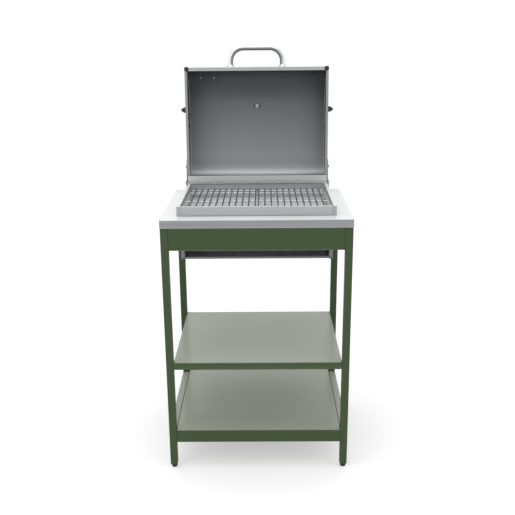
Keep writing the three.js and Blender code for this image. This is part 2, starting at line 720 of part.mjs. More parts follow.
// The handle's centreline by distance along it: a leg, a bend, the grip, a bend and a leg.
class HandleLine extends THREE.Curve {
  getPoint(t) {
    const fromMiddle = (t - 0.5) * handleLine;
    const side = Math.sign(fromMiddle);
    const beyondGrip = Math.abs(fromMiddle) - gripHalf;
    const beyondBend = beyondGrip - bendLength;
    if (beyondGrip < 0) return lidPoint(fromMiddle, handleTop, handleUp);
    if (beyondBend > 0) return lidPoint(side * handleX, handleTop - handleBend - beyondBend, handleUp);
    const turn = beyondGrip / handleBend;
    return lidPoint(side * (gripHalf + handleBend * Math.sin(turn)),
      handleTop - handleBend * (1 - Math.cos(turn)), handleUp);
  }
}

{
  const section = new THREE.Shape();
  section.absarc(0, 0, handleDiameter / 2, 0, 2 * Math.PI);
  place(lid, 'lid_handle', new THREE.ExtrudeGeometry(section, {
    steps: 36, extrudePath: new HandleLine(), bevelEnabled: false, curveSegments: 6,
  }), brightSteel);

  const bore = handleDiameter / 2 + gap;
  const flare = ferruleDiameter / 2;
  for (const [side, sign] of sides) {
    place(lid, `handle_ferrule_${side}`, turned([
      [bore, 0], [flare, 0], [flare, 0.3 * ferruleHeight], [bore + 2, ferruleHeight],
      [bore, ferruleHeight], [bore, 0]],
    lidPoint(sign * handleX, handleEnd, handleUp), lidForward), brightSteel);
  }
}

// ---------------------------------------------------------------- corner bumpers

for (const [side, sign] of sides) {
  const head = bumperDiameter / 2;
  const stem = bumperStem / 2;
  const barb = bumperBarb / 2;
  const face = -gap;
  const back = lidSheet + gap;
  place(lid, `bumper_${side}`, turned([
    [0, face - bumperThickness], [head - 1, face - bumperThickness], [head, face - bumperThickness + 1],
    [head, face], [stem, face], [stem, back], [barb, back], [stem, back + bumperBarbHeight],
    [0, back + bumperBarbHeight]], bumperAt(sign, 0), axisZ), blackPlastic);
}

// ---------------------------------------------------------------- dampers

const damperInner = lidHalf + gap;
const damperOuter = damperInner + lidSheet;
for (const [side, sign] of sides) {
  const outward = axisX.clone().multiplyScalar(sign);
  const at = (x, along, up) => lidPoint(sign * x, along, up);
  const disc = roundBar(2 * damperRadius, lidSheet, at(damperInner, damperAlong, damperUp), outward, 24);
  const arm = block(mirrored(sign, [damperInner, damperOuter]),
    [pinForward - damperAlong - damperArm, pinForward - damperAlong],
    [damperUp - pinUp - damperArmWidth / 2, damperUp - pinUp + damperArmWidth / 2]);
  const tip = roundBar(damperArmWidth, lidSheet,
    at(damperInner, damperAlong + damperArm, damperUp), outward);
  const vents = Array.from({ length: ventCount }, (_, i) =>
    roundBar(ventDiameter, lidSheet + 2, ventAt(sign, sign * (damperInner - 1), i), outward));
  const pivotHole = roundBar(pivotDiameter + 2 * gap, lidSheet + 2,
    at(damperInner - 1, damperAlong, damperUp), outward);
  place(lid, `damper_${side}`, cut(join(disc, arm, tip), ...vents, pivotHole), stainless);

  const start = lidEndInner - gap - pivotHeadHeight;
  const shank = pivotDiameter / 2;
  const head = pivotHeadDiameter / 2;
  const reach = damperOuter + gap - start;
  place(lid, `damper_pivot_${side}`, turned([
    [0, 0], [head, 0], [head, pivotHeadHeight], [shank, pivotHeadHeight], [shank, reach],
    [head, reach], [head, reach + pivotHeadHeight], [0, reach + pivotHeadHeight]],
  at(start, damperAlong, damperUp), outward), blackPlastic);

  const knob = knobDiameter / 2;
  place(lid, `damper_knob_${side}`, turned([
    [0, 0], [0.55 * knob, 0], [0.55 * knob, 0.15 * knobLength], [knob, 0.25 * knobLength],
    [knob, 0.5 * knobLength], [0.3 * knob, knobLength], [0, knobLength]],
  at(damperOuter + gap, damperAlong + damperArm, damperUp), outward), blackPlastic);
}

// ---------------------------------------------------------------- thermometer

{
  const foot = lidPoint(0, gaugeAlong, lidHeight + gap);
  const rim = gaugeDiameter / 2;
  const stem = gaugeStem / 2;
  const bezel = 3;
  const well = rim - bezel;
  const dialSeat = gaugeDepth - 7;
  place(lid, 'gauge_case', turned([
    [0, -gaugeStemLength], [0.6 * stem, -gaugeStemLength], [stem, -gaugeStemLength + 6], [stem, 0],
    [rim - 4, 0], [rim, 4], [rim, gaugeDepth - 1], [rim - 1, gaugeDepth], [well, gaugeDepth],
    [well, dialSeat], [0, dialSeat]], foot, axisZ, 24), brightSteel);
  const level = (z) => foot.clone().add(new THREE.Vector3(0, 0, z));
  place(lid, 'gauge_dial', roundBar(2 * (well - gap), 1, level(dialSeat + gap), axisZ, 24), whiteDial);

  // The needle points to the low end of the scale, turned clockwise from there by the heat.
  const needleFoot = dialSeat + gap + 1 + gap;
  const lowEnd = THREE.MathUtils.degToRad(225);
  const blade = new THREE.ExtrudeGeometry(polygon([[-6, -1.2], [well - 5, 0], [-6, 1.2]]),
    { depth: 0.6, bevelEnabled: false });
  blade.rotateZ(lowEnd);
  const needle = join(
    blade.translate(foot.x, foot.y, foot.z + needleFoot),
    roundBar(6, 1.4, level(needleFoot), axisZ, 16));
  place(lid, 'gauge_needle', needle, redPaint);
  place(lid, 'gauge_glass', roundBar(2 * (well - gap), 1.5, level(gaugeDepth - 2.5), axisZ, 24),
    clearGlass);

  const nutHeight = 8;
  const nutRadius = 7;
  const nutTop = lidHeight - lidSheet - gap;
  const nutFoot = lidPoint(0, gaugeAlong, nutTop - nutHeight);
  const wings = block([-wingSpan / 2, wingSpan / 2], [nutFoot.y - 1.5, nutFoot.y + 1.5],
    [nutFoot.z - 6, nutFoot.z + nutHeight - 2]);
  const bore = roundBar(gaugeStem + 2 * gap, nutHeight + 20,
    nutFoot.clone().add(new THREE.Vector3(0, 0, -10)), axisZ);
  place(lid, 'gauge_wing_nut', cut(join(roundBar(2 * nutRadius, nutHeight, nutFoot, axisZ), wings), bore),
    brightSteel);
}

// ---------------------------------------------------------------- badge

{
  // Built flat at the origin, then stood on the curve along the badge's normal.
  const stand = new THREE.Quaternion().setFromUnitVectors(axisZ, badgeNormal);
  const ontoLid = (geometry, point) => geometry.applyQuaternion(stand)
    .translate(point.x, point.y, point.z);
  const half = badgeWidth / 2;
  const plate = block([-half, half], [-badgeHeight / 2, badgeHeight / 2], [0, badgeSheet]);
  const holes = [-1, 1].map((sign) => roundBar(rivetDiameter + 2 * gap, badgeSheet + 2,
    new THREE.Vector3(sign * rivetSpacing / 2, 0, -1), axisZ, 12));
  const lift = gap + badgeHeight ** 2 / (8 * frontRadius);
  place(lid, 'badge_plate', ontoLid(cut(plate, ...holes), badgeFoot(badgeX, lift)), brightSteel);

  const shank = rivetDiameter / 2;
  const head = rivetHead / 2;
  const inside = -lidSheet - gap;
  const outside = lift + badgeSheet + gap;
  rivetX.forEach((x, i) => {
    place(lid, `badge_rivet_${sides[i][0]}`, turned([
      [0, inside - 2], [head - 1, inside - 2], [head, inside], [shank, inside], [shank, outside],
      [head - 1, outside], [head - 2, outside + 1.2], [0, outside + 1.2]],
    badgeFoot(x, 0), badgeNormal, 16), brightSteel);
  });
}

// ---------------------------------------------------------------- the whole

// The origin goes to the floor under the middle of the object's box.
const part = new THREE.Group();
part.add(grill);
part.updateMatrixWorld(true);
const box = new THREE.Box3().setFromObject(grill, true);
grill.position.y = -(box.min.y + box.max.y) / 2;

export default part;
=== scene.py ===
"""A charcoal grill let into a steel table, its lid standing open, put together piece by piece.

The lengths written in the sections are millimetres; `solid` turns them into the frame's metres.
"""
import json
import math

import bmesh
import bpy
import numpy as np
from mathutils import Matrix, Vector


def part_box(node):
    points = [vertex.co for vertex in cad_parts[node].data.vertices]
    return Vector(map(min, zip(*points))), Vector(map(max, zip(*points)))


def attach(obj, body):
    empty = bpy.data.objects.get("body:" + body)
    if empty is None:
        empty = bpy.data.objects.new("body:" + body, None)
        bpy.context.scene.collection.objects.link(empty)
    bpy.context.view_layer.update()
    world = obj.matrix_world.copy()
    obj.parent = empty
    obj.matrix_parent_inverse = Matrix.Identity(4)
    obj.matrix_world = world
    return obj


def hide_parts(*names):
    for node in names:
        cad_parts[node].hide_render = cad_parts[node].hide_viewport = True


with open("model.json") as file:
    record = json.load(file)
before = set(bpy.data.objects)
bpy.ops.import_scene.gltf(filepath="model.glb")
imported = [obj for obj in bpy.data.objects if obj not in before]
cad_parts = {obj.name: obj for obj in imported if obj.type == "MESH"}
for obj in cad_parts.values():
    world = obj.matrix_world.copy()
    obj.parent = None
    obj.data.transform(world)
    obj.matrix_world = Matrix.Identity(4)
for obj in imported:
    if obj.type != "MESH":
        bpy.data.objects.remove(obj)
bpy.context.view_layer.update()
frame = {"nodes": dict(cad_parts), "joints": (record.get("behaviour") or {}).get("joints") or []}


# ------------ the room
# A white room: a pale matt floor, faintly lit from below so that shadows stay light, one wide
# softbox overhead, a second high at the front left, and a faint one low on the right.

scene = bpy.context.scene
scene.view_settings.view_transform = "Standard"


class Reading:
    """A socket's value that can be written into sums. Each operator adds the Math node for it."""

    def __init__(self, tree, socket):
        self.tree, self.socket = tree, socket

    def apply(self, operation, *others):
        node = self.tree.nodes.new("ShaderNodeMath")
        node.operation = operation
        for place, term in zip(node.inputs, (self, *others)):
            if isinstance(term, Reading):
                self.tree.links.new(term.socket, place)
            else:
                place.default_value = term
        return Reading(self.tree, node.outputs[0])

    def __add__(self, other):
        return self.apply("ADD", other)

    __radd__ = __add__

    def __mul__(self, other):
        return self.apply("MULTIPLY", other)

    __rmul__ = __mul__

    def __sub__(self, other):
        return self.apply("SUBTRACT", other)

    def __rsub__(self, other):
        return self * -1 + other

    def __truediv__(self, other):
        return self.apply("DIVIDE", other)

    def __pow__(self, other):
        return self.apply("POWER", other)

    def __lt__(self, other):
        return self.apply("LESS_THAN", other)

    def __gt__(self, other):
        return self.apply("GREATER_THAN", other)


class Finish:
    """A material on the Principled shader, and the one way to add any other node to it."""

    def __init__(self, name, **uniform):
        self.material = bpy.data.materials.new(name)
        self.material.use_nodes = True
        self.tree = self.material.node_tree
        self.shader = self.tree.nodes["Principled BSDF"]
        for socket, value in uniform.items():
            self.shader.inputs[socket.replace("_", " ")].default_value = value

    def node(self, kind, settings=None, inputs=None, output=0):
        """Adds one node: its settings, then its sockets by name or number. Gives one output."""
        made = self.tree.nodes.new(kind)
        for name, value in (settings or {}).items():
            if name != "stops":
                setattr(made, name, value)
                continue
            stops = made.color_ramp.elements
            while len(stops) < len(value):
                stops.new(0.5)
            for stop, (at, grey) in zip(stops, value):
                stop.position, stop.color = at, (grey, grey, grey, 1.0)
        for name, value in (inputs or {}).items():
            self.join(value, made.inputs[name])
        return Reading(self.tree, made.outputs[output])

    def join(self, value, socket):
        if isinstance(value, Reading):
            self.tree.links.new(value.socket, socket)
        else:
            socket.default_value = value

    def feed(self, **looks):
        """Links readings to the shader's own sockets."""
        for socket, value in looks.items():
            self.join(value, self.shader.inputs[socket.replace("_", " ")])

    def place(self):
        return self.node("ShaderNodeTexCoord", output="Object")

    def folds(self):
        """The wear kept with a piece's points: 1 where rubbed and along the handle's inner side, which
        takes a painted reflection; below 0 where a seam gets a painted shadow line.
        """
        return self.node("ShaderNodeAttribute", {"attribute_name": "fold"}, output="Fac")

    def noise(self, place, scale, detail=2.0, rough=0.5):
        return self.node("ShaderNodeTexNoise", inputs={
            "Vector": place, "Scale": scale, "Detail": detail, "Roughness": rough})

    def stretched(self, place, scale):
        return self.node("ShaderNodeMapping", inputs={"Vector": place, "Scale": scale})

    def blend(self, share, first, second):
        return self.node("ShaderNodeMix", {"data_type": "RGBA"}, {0: share, 6: first, 7: second}, 2)

    def bump(self, height, distance, strength=1.0):
        return self.node("ShaderNodeBump", inputs={
            "Height": height, "Distance": distance, "Strength": strength})


def paint(code):
    """A colour as mixed on a screen, six hex digits, in the linear light that the shader wants."""
    screen = np.array([int(code[i:i + 2], 16) for i in (0, 2, 4)]) / 255
    light = np.where(screen <= 0.04045, screen / 12.92, ((screen + 0.055) / 1.055) ** 2.4)
    return (*light.tolist(), 1.0)


def mesh_object(name, points, faces):
    mesh = bpy.data.meshes.new(name)
    mesh.from_pydata(points.tolist(), [], faces)
    thing = bpy.data.objects.new(name, mesh)
    scene.collection.objects.link(thing)
    return thing


floor_half = 9.0
floor = mesh_object("floor", floor_half * np.array([[-1, -1, 0], [1, -1, 0], [1, 1, 0], [-1, 1, 0]]),
                    [(0, 1, 2, 3)])
floor_finish = Finish("pale floor", Roughness=0.85, Emission_Color=(1, 1, 1, 1),
                      Emission_Strength=0.42)
floor_cloud = floor_finish.noise(floor_finish.place(), 1.4)
floor_finish.feed(Base_Color=floor_finish.blend(floor_cloud, paint("c6c6c6"), paint("cacaca")))
floor.data.materials.append(floor_finish.material)


def softbox(name, size, power, at, towards):
    lamp = bpy.data.lights.new(name, "AREA")
    lamp.shape, lamp.energy = "RECTANGLE", power
    lamp.size, lamp.size_y = size
    holder = bpy.data.objects.new(name, lamp)
    scene.collection.objects.link(holder)
    holder.location = at
    holder.rotation_mode = "QUATERNION"
    holder.rotation_quaternion = (Vector(towards) - Vector(at)).to_track_quat("-Z", "Y")


softbox("overhead", (2.6, 2.2), 26, (-0.2, -0.2, 3.1), (0, 0, 0.9))
softbox("front left", (1.6, 1.8), 12, (-2.1, -2.4, 2.1), (0, 0, 0.7))
softbox("low right", (1.2, 1.6), 3, (2.4, -1.6, 1.0), (0, 0, 0.6))

world = bpy.data.worlds.new("white room")
scene.world = world
world.use_nodes = True
sky = world.node_tree
backdrop = sky.nodes["Background"]
backdrop.inputs["Color"].default_value = (1, 1, 1, 1)
backdrop.inputs["Strength"].default_value = 1.0

eye_at = [0.024359, -2.766282, 1.447032]
yaw, pitch, roll = (math.radians(a) for a in (-0.541, 17.956, 0.496))
ahead = np.array([math.sin(yaw) * math.cos(pitch), math.cos(yaw) * math.cos(pitch),
                  -math.sin(pitch)])
level_right = np.array([math.cos(yaw), -math.sin(yaw), 0])
level_up = np.cross(level_right, ahead)
right = level_right * math.cos(roll) - level_up * math.sin(roll)
up = level_right * math.sin(roll) + level_up * math.cos(roll)
eye = bpy.data.cameras.new("eye")
eye.sensor_width, eye.lens, eye.shift_y = 36, 54.38, 0.0631
camera = bpy.data.objects.new("eye", eye)
scene.collection.objects.link(camera)
standing = np.eye(4)
standing[:3, :4] = np.array([right, up, -ahead, eye_at]).T
camera.matrix_world = Matrix(standing.tolist())
scene.camera = camera


# ------------ feet
# Moulded black glides, one under each leg: a round pad, a square flange the tube stands on, and a
# plug pressed up into the tube.

def extent(node):
    """A node's lowest and highest corner in millimetres."""
    return [np.array(corner) * 1000 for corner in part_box(node)]


def rounded(corners, closed=True, hold=1.4):
    """An outline from (u, v, radius) corners. Each corner becomes the arc that touches both its
    sides: centre -+ r * normal(a turned by t * turn), t from 0 to 1. The third column is the fold's
    wear, 1 on arcs tighter than 6 mm and 0 a little further along each side."""
    at = np.array([c[:2] for c in corners], float)
    radii = [c[2] for c in corners]
    rows = []
    for i, (point, radius) in enumerate(zip(at, radii)):
        if not closed and i in (0, len(at) - 1):
            rows.append([*point, 1.0])
            continue
        a, b = point - at[i - 1], at[(i + 1) % len(at)] - point
        side_a, side_b = np.linalg.norm(a), np.linalg.norm(b)
        a, b = a / side_a, b / side_b
        turn = math.atan2(a[0] * b[1] - a[1] * b[0], a @ b)
        back = radius * math.tan(abs(turn) / 2)
        start = point - a * back
        sign = math.copysign(1, turn)
        centre = start + sign * radius * np.array([-a[1], a[0]])
        t = turn * np.linspace(0, 1, 5 + int(radius / 3.5))
        normal = np.stack([-a[1] * np.cos(t) - a[0] * np.sin(t),
                           a[0] * np.cos(t) - a[1] * np.sin(t)], 1)
        arc = centre - sign * radius * normal
        near, far = (min(hold, 0.35 * max(side - back, 0.01)) for side in (side_a, side_b))
        worn = float(radius < 6)
        rows.append([*(start - a * near), 0.0])
        rows.extend([*p, worn] for p in arc)
        rows.append([*(point + b * (back + far)), 0.0])
    return np.array(rows)


def turned(profile, at, axis, sides=48):
    """A profile of (radius, height, wear) rows turned about an axis: at + height * axis +
    radius * (cos t * p + sin t * q), with p and q square to the axis."""
    axis = np.array(axis, float) / np.linalg.norm(axis)
    p = np.cross(axis, [1, 0, 0] if abs(axis[0]) < 0.9 else [0, 1, 0])
    p /= np.linalg.norm(p)
    q = np.cross(axis, p)
    t = np.arange(sides) * 2 * np.pi / sides
    r, h, w = (profile[:, i, None, None] for i in range(3))
    ring = np.cos(t)[:, None] * p + np.sin(t)[:, None] * q
    points = np.array(at, float) + h * axis + r * ring
    return np.concatenate([points, np.broadcast_to(w, points.shape[:2] + (1,))], 2)


def framed(rows, steps=4, fold=0.0):
    """Rounded rectangles, one ring to a row of (x0, x1, y0, y1, radius, z, wear): each corner's
    centre lies `radius` inside both sides, and its arc runs from one side to the next, with a point
    1.5 mm further along either side. The arcs' wear is at least `fold`."""
    x0, x1, y0, y1, radius, z, worn = (column[:, None] for column in np.array(rows, float).T)
    t = np.concatenate([[0], np.linspace(0, np.pi / 2, steps + 1), [np.pi / 2]])
    along = np.zeros(len(t))
    along[0], along[-1] = -1.5, 1.5
    arc = np.where(along == 0, fold, 0.0)
    rings = []
    for k, (sx, sy) in enumerate([(1, 1), (-1, 1), (-1, -1), (1, -1)]):
        cx = (x1 - radius) if sx > 0 else (x0 + radius)
        cy = (y1 - radius) if sy > 0 else (y0 + radius)
        c, s = np.cos(t + k * np.pi / 2), np.sin(t + k * np.pi / 2)
        x, y = cx + radius * c - along * s, cy + radius * s + along * c
        rings.append(np.stack([x, y, z + 0 * x, np.maximum(worn, arc) + 0 * x], 2))
    return np.concatenate(rings, 1)


def skin(rings, looped):
    """Points and faces of the surface rings[i, j]: a square between neighbours in i and j, with j
    closing on itself. The first and last ring are closed by flat faces, or joined if `looped`.
    The faces are turned outwards by the sign of the enclosed volume."""
    m, n = rings.shape[:2]
    index = np.arange(m * n).reshape(m, n)
    low = index if looped else index[:-1]
    high = np.roll(index, -1, 0) if looped else index[1:]
    squares = np.stack([low, np.roll(low, -1, 1), np.roll(high, -1, 1), high], 2).reshape(-1, 4)
    points = rings[..., :3].reshape(-1, 3)
    a, b, c, d = (points[squares[:, k]] for k in range(4))
    volume = (a * np.cross(b, c)).sum() + (a * np.cross(c, d)).sum()
    ends = [] if looped else [index[0][::-1], index[-1]]
    for cap in ends:
        e = points[cap]
        volume += (np.cross(e[1:-1], e[2:]) * e[0]).sum()
    faces = squares.tolist() + [cap.tolist() for cap in ends]
    return points, faces if volume > 0 else [face[::-1] for face in faces]


def solid(name, surfaces, finish, body, nodes, looped=False, bevel=0.0, sharp=38, lining=()):
    """One piece from one or more ring surfaces in millimetres, riding on a body for its CAD nodes.
    lining lists further finishes, each with a test of face middles and normals for where it shows."""
    points, faces, worn = [], [], []
    for rings in surfaces:
        start = sum(len(p) for p in points)
        shell, squares = skin(rings, looped)
        points.append(shell)
        worn.append(rings[..., 3].reshape(-1))
        faces.extend([[i + start for i in face] for face in squares])
    piece = mesh_object(name, np.concatenate(points) / 1000, faces)
    piece.data.attributes.new("fold", "FLOAT", "POINT").data.foreach_set(
        "value", np.concatenate(worn).astype(np.float32))
    return dressed(piece, finish, body, nodes, bevel, sharp, lining)


def dressed(piece, finish, body, nodes, bevel, sharp=38, lining=()):
    """Gives a piece its finishes, smooth and sharp edges, and its place in the frame."""
    piece.data.materials.append(finish.material)
    count = len(piece.data.polygons)
    middle, normal, index = np.zeros(count * 3), np.zeros(count * 3), np.zeros(count, np.int32)
    piece.data.polygons.foreach_get("center", middle)
    piece.data.polygons.foreach_get("normal", normal)
    for number, (further, shows) in enumerate(lining, 1):
        piece.data.materials.append(further.material)
        index[shows(middle.reshape(-1, 3) * 1000, normal.reshape(-1, 3))] = number
    piece.data.polygons.foreach_set("material_index", index)
    piece.data.shade_smooth()
    piece.data.set_sharp_from_angle(angle=math.radians(sharp))
    if bevel:
        edge = piece.modifiers.new("rounded edges", "BEVEL")
        edge.width, edge.segments, edge.limit_method = bevel / 1000, 2, "ANGLE"
        edge.angle_limit, edge.harden_normals = math.radians(sharp), True
    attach(piece, body)
    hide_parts(*nodes)
    return piece


def moulded(name, colour, roughness):
    """Moulded plastic: an even dark skin with a fine spark-eroded grain, shiny where handled."""
    finish = Finish(name, IOR=1.46)
    place = finish.place()
    grain, cloud = finish.noise(place, 2600, 1), finish.noise(place, 60, 3)
    finish.feed(Base_Color=finish.blend(cloud, paint(colour), paint("222425")),
                Roughness=roughness + 0.18 * cloud, Normal=finish.bump(grain, 0.00006, 0.6))
    return finish


black_plastic = moulded("black plastic", "131516", 0.42)
foot_pad, foot_flange, plug_wall = 19.0, 2.5, 1.8
for end in ("front", "rear"):
    for side in ("left", "right"):
        node = f"foot_{end}_{side}"
        low, high = extent(node)
        x, y = (low[:2] + high[:2]) / 2
        top = extent(f"leg_{end}_{side}")[0][2] - 0.3
        half = (high[0] - low[0]) / 2
        pad = rounded([(6, 0, 0), (foot_pad / 2, 0, 1.6), (foot_pad / 2, 5.2, 0.5), (8.6, 5.8, 0.4),
                       (8.6, top - 1, 0.2), (6, top - 1, 0)], closed=False, hold=0.5)
        flange = [(half - 0.5, top - foot_flange, 1), (half, top - foot_flange + 0.6, 1),
                  (half, top - 0.6, 1), (half - 0.5, top, 1)]
        plug = [(half - 0.5 - plug_wall, top - 1, 0), (half - 0.8 - plug_wall, high[2] - 1, 0),
                (half - 2 - plug_wall, high[2], 1)]
        squares = [framed([(x - h, x + h, y - h, y + h, 1.2, z, w) for h, z, w in rows])
                   for rows in (flange, plug)]
        solid(node, [turned(pad, (x, y, 0), (0, 0, 1)), *squares], black_plastic, "frame",
              [node])


# ------------ legs
# Four lengths of 25 mm square steel tube with rolled corners, cut square, welded up with the rest of
# the table and powder coated olive green.

def powder_coat(name, colour, lighter, sheen):
    """Powder coat: an orange-peel skin over faint clouds of tint, rubbed paler along the folds and
    darker in the seams by a painted shadow line, with a thin clear sheen."""
    finish = Finish(name, IOR=1.4, Specular_IOR_Level=0.3, Coat_Roughness=0.22, Coat_IOR=1.5)
    place = finish.place()
    cloud = finish.noise(place, 7, 3)
    peel, speck = finish.noise(place, 700, 1.5), finish.noise(place, 1900, 1)
    worn = finish.folds()
    rub = worn.apply("MAXIMUM", 0) * (0.25 + 0.6 * finish.noise(place, 55, 3))
    # Below-zero folds mark seams: painted shade darkens them.
    seam_shade = (0 - worn).apply("MAXIMUM", 0)
    body = finish.blend(cloud, paint(colour), paint(lighter))
    dusted = finish.blend((speck > 0.72) * 0.12, body, paint("8d9389"))
    rubbed = finish.blend(rub * 0.28, dusted, paint("8c9486"))
    finish.feed(Base_Color=finish.blend(seam_shade * 0.75, rubbed, paint("1d2419")),
                Roughness=0.40 + 0.14 * cloud - 0.08 * rub, Coat_Weight=sheen * (1 - 0.4 * cloud),
                Normal=finish.bump(peel, 0.00012, 0.35))
    return finish


green_coat = powder_coat("olive powder coat", "36462a", "3b4b30", 0.0)
tube_wall = 1.5


def tube(low, high, axis, corner=2.0):
    """A square tube between two corners: the outside outline carried one way along the axis and the
    bore's outline carried back, the rings joined at both ends."""
    across = [k for k in range(3) if k != axis]
    (u0, v0), (u1, v1) = low[across], high[across]
    a0, a1, w = low[axis], high[axis], tube_wall
    outside = [(u0, u1, v0, v1, corner, a, worn)
               for a, worn in ((a0, 1), (a0 + 1.5, 0), (a1 - 1.5, 0), (a1, 1))]
    bore = [(u0 + w, u1 - w, v0 + w, v1 - w, corner - w + 0.3, a, 0) for a in (a1, a0)]
    return framed(outside + bore, 5, fold=0.25)[..., [*np.argsort(across + [axis]), 3]]


for end in ("front", "rear"):
    for side in ("left", "right"):
        node = f"leg_{end}_{side}"
        solid(node, [tube(*extent(node), 2)], green_coat, "frame", [node], looped=True)


# ------------ aprons
# Four channels folded from 1.5 mm sheet, web outwards, welded between the legs under the worktop
# and coated with them.

sheet = 1.5


def carried(outline, axis, start, stop, place=lambda u, v: (u, v), end_wear_and_shade=1.0):
    """A sheet-metal section carried straight along an axis. place turns the section's (u, v) columns
    into the two other coordinates. The cut ends are worn, or carry a painted shadow line where the end
    value is below 0, and 2 mm inside them they are not."""
    along = np.array([start, start + 2, stop - 2, stop])
    ends = end_wear_and_shade * np.array([1.0, 0, 0, 1])
    first, second = place(outline[:, 0], outline[:, 1])
    rings = np.zeros((4, len(outline), 4))
    rest = [k for k in range(3) if k != axis]
    rings[..., axis] = along[:, None]
    rings[..., rest[0]], rings[..., rest[1]] = first, second
    rings[..., 3] = np.where(ends[:, None] == 0, outline[:, 2], ends[:, None])
    return rings


def folded_rail(node, corners):
    """Carries a section of (depth from the outer face, height) corners along a side of the table."""
    low, high = extent(node)
    axis = 0 if node.endswith(("front", "rear")) else 1
    face = 1 - axis
    outline = rounded(corners(high[2] - low[2], high[face] - low[face]))
    first = node.endswith(("front", "left"))
    place = lambda depth, rise: (low[face] + depth if first else high[face] - depth, low[2] + rise)
    # Its welded ends get a painted shadow line.
    return carried(outline, axis, low[axis], high[axis], place, end_wear_and_shade=-1.0)


channel = lambda tall, deep: [
    (0, 0, 2.0), (deep, 0, 0.2), (deep, sheet, 0.2), (sheet, sheet, 0.6),
    (sheet, tall - sheet, 0.6), (deep, tall - sheet, 0.2), (deep, tall, 0.2), (0, tall, 2.0)]
for side in ("front", "rear", "left", "right"):
    solid(f"apron_{side}", [folded_rail(f"apron_{side}", channel)], green_coat, "frame",
          [f"apron_{side}"])


# ------------ lower rails
# Under the lower shelf: folded angles at the front and rear, and square tubes at the sides, welded
# to the legs. What lies face up is painted paler: a painted sheen on the same olive coat.

# Upward faces take this paler copy of the olive coat: a painted sheen, not a second coat.
painted_sheen_coat = powder_coat("powder coat with painted sheen", "949c8d", "9ba393", 0.75)
angle = lambda tall, deep: [
    (0, 0, 2.0), (deep, 0, 0.2), (deep, sheet, 0.2), (sheet, sheet, 0.6), (sheet, tall, 0.2),
    (0, tall, 0.2)]


def faces_up(least):
    """A test for faces that look up: their normal's z is more than `least`."""
    return lambda middle, normal: normal[:, 2] > least


for side in ("front", "rear"):
    solid(f"lower_rail_{side}", [folded_rail(f"lower_rail_{side}", angle)], green_coat, "frame",
          [f"lower_rail_{side}"])
for side in ("left", "right"):
    solid(f"lower_rail_{side}", [tube(*extent(f"lower_rail_{side}"), 1)], green_coat, "frame",
          [f"lower_rail_{side}"], looped=True,
          lining=[(painted_sheen_coat, faces_up(0.9))])


# ------------ shelves
# Two pans of the same sheet, all four edges folded down, laid between the legs and welded. Their
# tops are painted paler: a painted sheen on the same olive coat.

def folded_down(low, high, bend):
    """A sheet with its edges folded down: rings run from the middle of the top out over the fold,
    down the skirt, round its cut edge and back up inside to the middle of the underside."""
    x0, y0, z0 = low
    x1, y1, z1 = high
    t = np.linspace(0, np.pi / 2, 5)
    over = [(bend * (1 - math.sin(a)), z1 - bend * (1 - math.cos(a)), 1) for a in t]
    under = [(sheet + 0.5 * (1 - math.sin(a)), z1 - sheet - 0.5 * (1 - math.cos(a)), 0)
             for a in t[::-1]]
    section = [(bend + 3, z1, 0), *over, (0, z1 - bend - 2, 0), (0, z0 + 0.3, 0.5), (0.3, z0, 1),
               (sheet - 0.3, z0, 1), (sheet, z0 + 0.3, 0.5), *under, (sheet + 4, z1 - sheet, 0)]
    return framed([(x0 + d, x1 - d, y0 + d, y1 - d, max(1.2 - d, 0.3), z, w) for d, z, w in section])


for shelf in ("mid_shelf", "lower_shelf"):
    solid(shelf, [folded_down(*extent(shelf), 1.8)], green_coat, "frame", [shelf],
          lining=[(painted_sheen_coat, faces_up(0.9))])


# ------------ worktop
# One 2 mm stainless sheet, its edges folded down 27 mm and back in underneath, with a rectangular
# cut-out that the firebox drops into. Brushed along its length.

def brushed(name, dark, light, grain, roughness, lines=0.10, clouds=0.06, metal=1.0, rubbed=0.3,
            worn_and_painted_tint="dfe0e1"):
    """Brushed stainless: long fine scratches along one axis in the roughness, tint and height, over
    faint clouds, brighter and smoother where a fold has been handled, darker in the seams by painted
    shade. A dark fold tint, as on the handle, makes the fold a painted reflection."""
    finish = Finish(name, Metallic=metal)
    place = finish.place()
    drawn_out = lambda along, across: finish.stretched(
        place, [along if axis == grain else across for axis in range(3)])
    fine = finish.noise(drawn_out(5.0, 330.0), 1.0, 3, 0.6)
    broad = finish.noise(drawn_out(1.5, 90.0), 1.0, 2)
    cloud = finish.noise(place, 4.5, 3)
    worn = finish.folds()
    tint = finish.blend(0.45 * fine + 0.3 * broad + 0.25 * cloud, paint(dark), paint(light))
    bright = finish.blend(worn.apply("MAXIMUM", 0) * rubbed, tint, paint(worn_and_painted_tint))
    # Below-zero folds mark seams: painted shade darkens them.
    seam_shade = (0 - worn).apply("MAXIMUM", 0)
    finish.feed(Base_Color=finish.blend(seam_shade * 0.7, bright, paint("3a3c3d")),
                Roughness=roughness + lines * (fine - 0.5) + clouds * (cloud - 0.5) - 0.05 * worn,
                Normal=finish.bump(fine, 0.00005, 0.35))
    return finish


# Upward faces take a near-white copy of the worktop steel, painted light; the edges keep the darker copy.
worktop_top_painted_light = brushed("satin worktop steel", "d8dad9", "ebeceb", 0, 0.38, metal=0.45)
worktop_edge = brushed("brushed worktop edge", "78797b", "a7a8ab", 0, 0.34, 0.16)
worktop_sheet, flange_in = 2.0, 15.0
low, high = extent("worktop")
tub_low, tub_high = extent("firebox")
hole = np.array([tub_low[0] - 1, tub_high[0] + 1, tub_low[1] - 0.5, tub_high[1] + 1])
outwards = np.array([-1, 1, -1, 1])


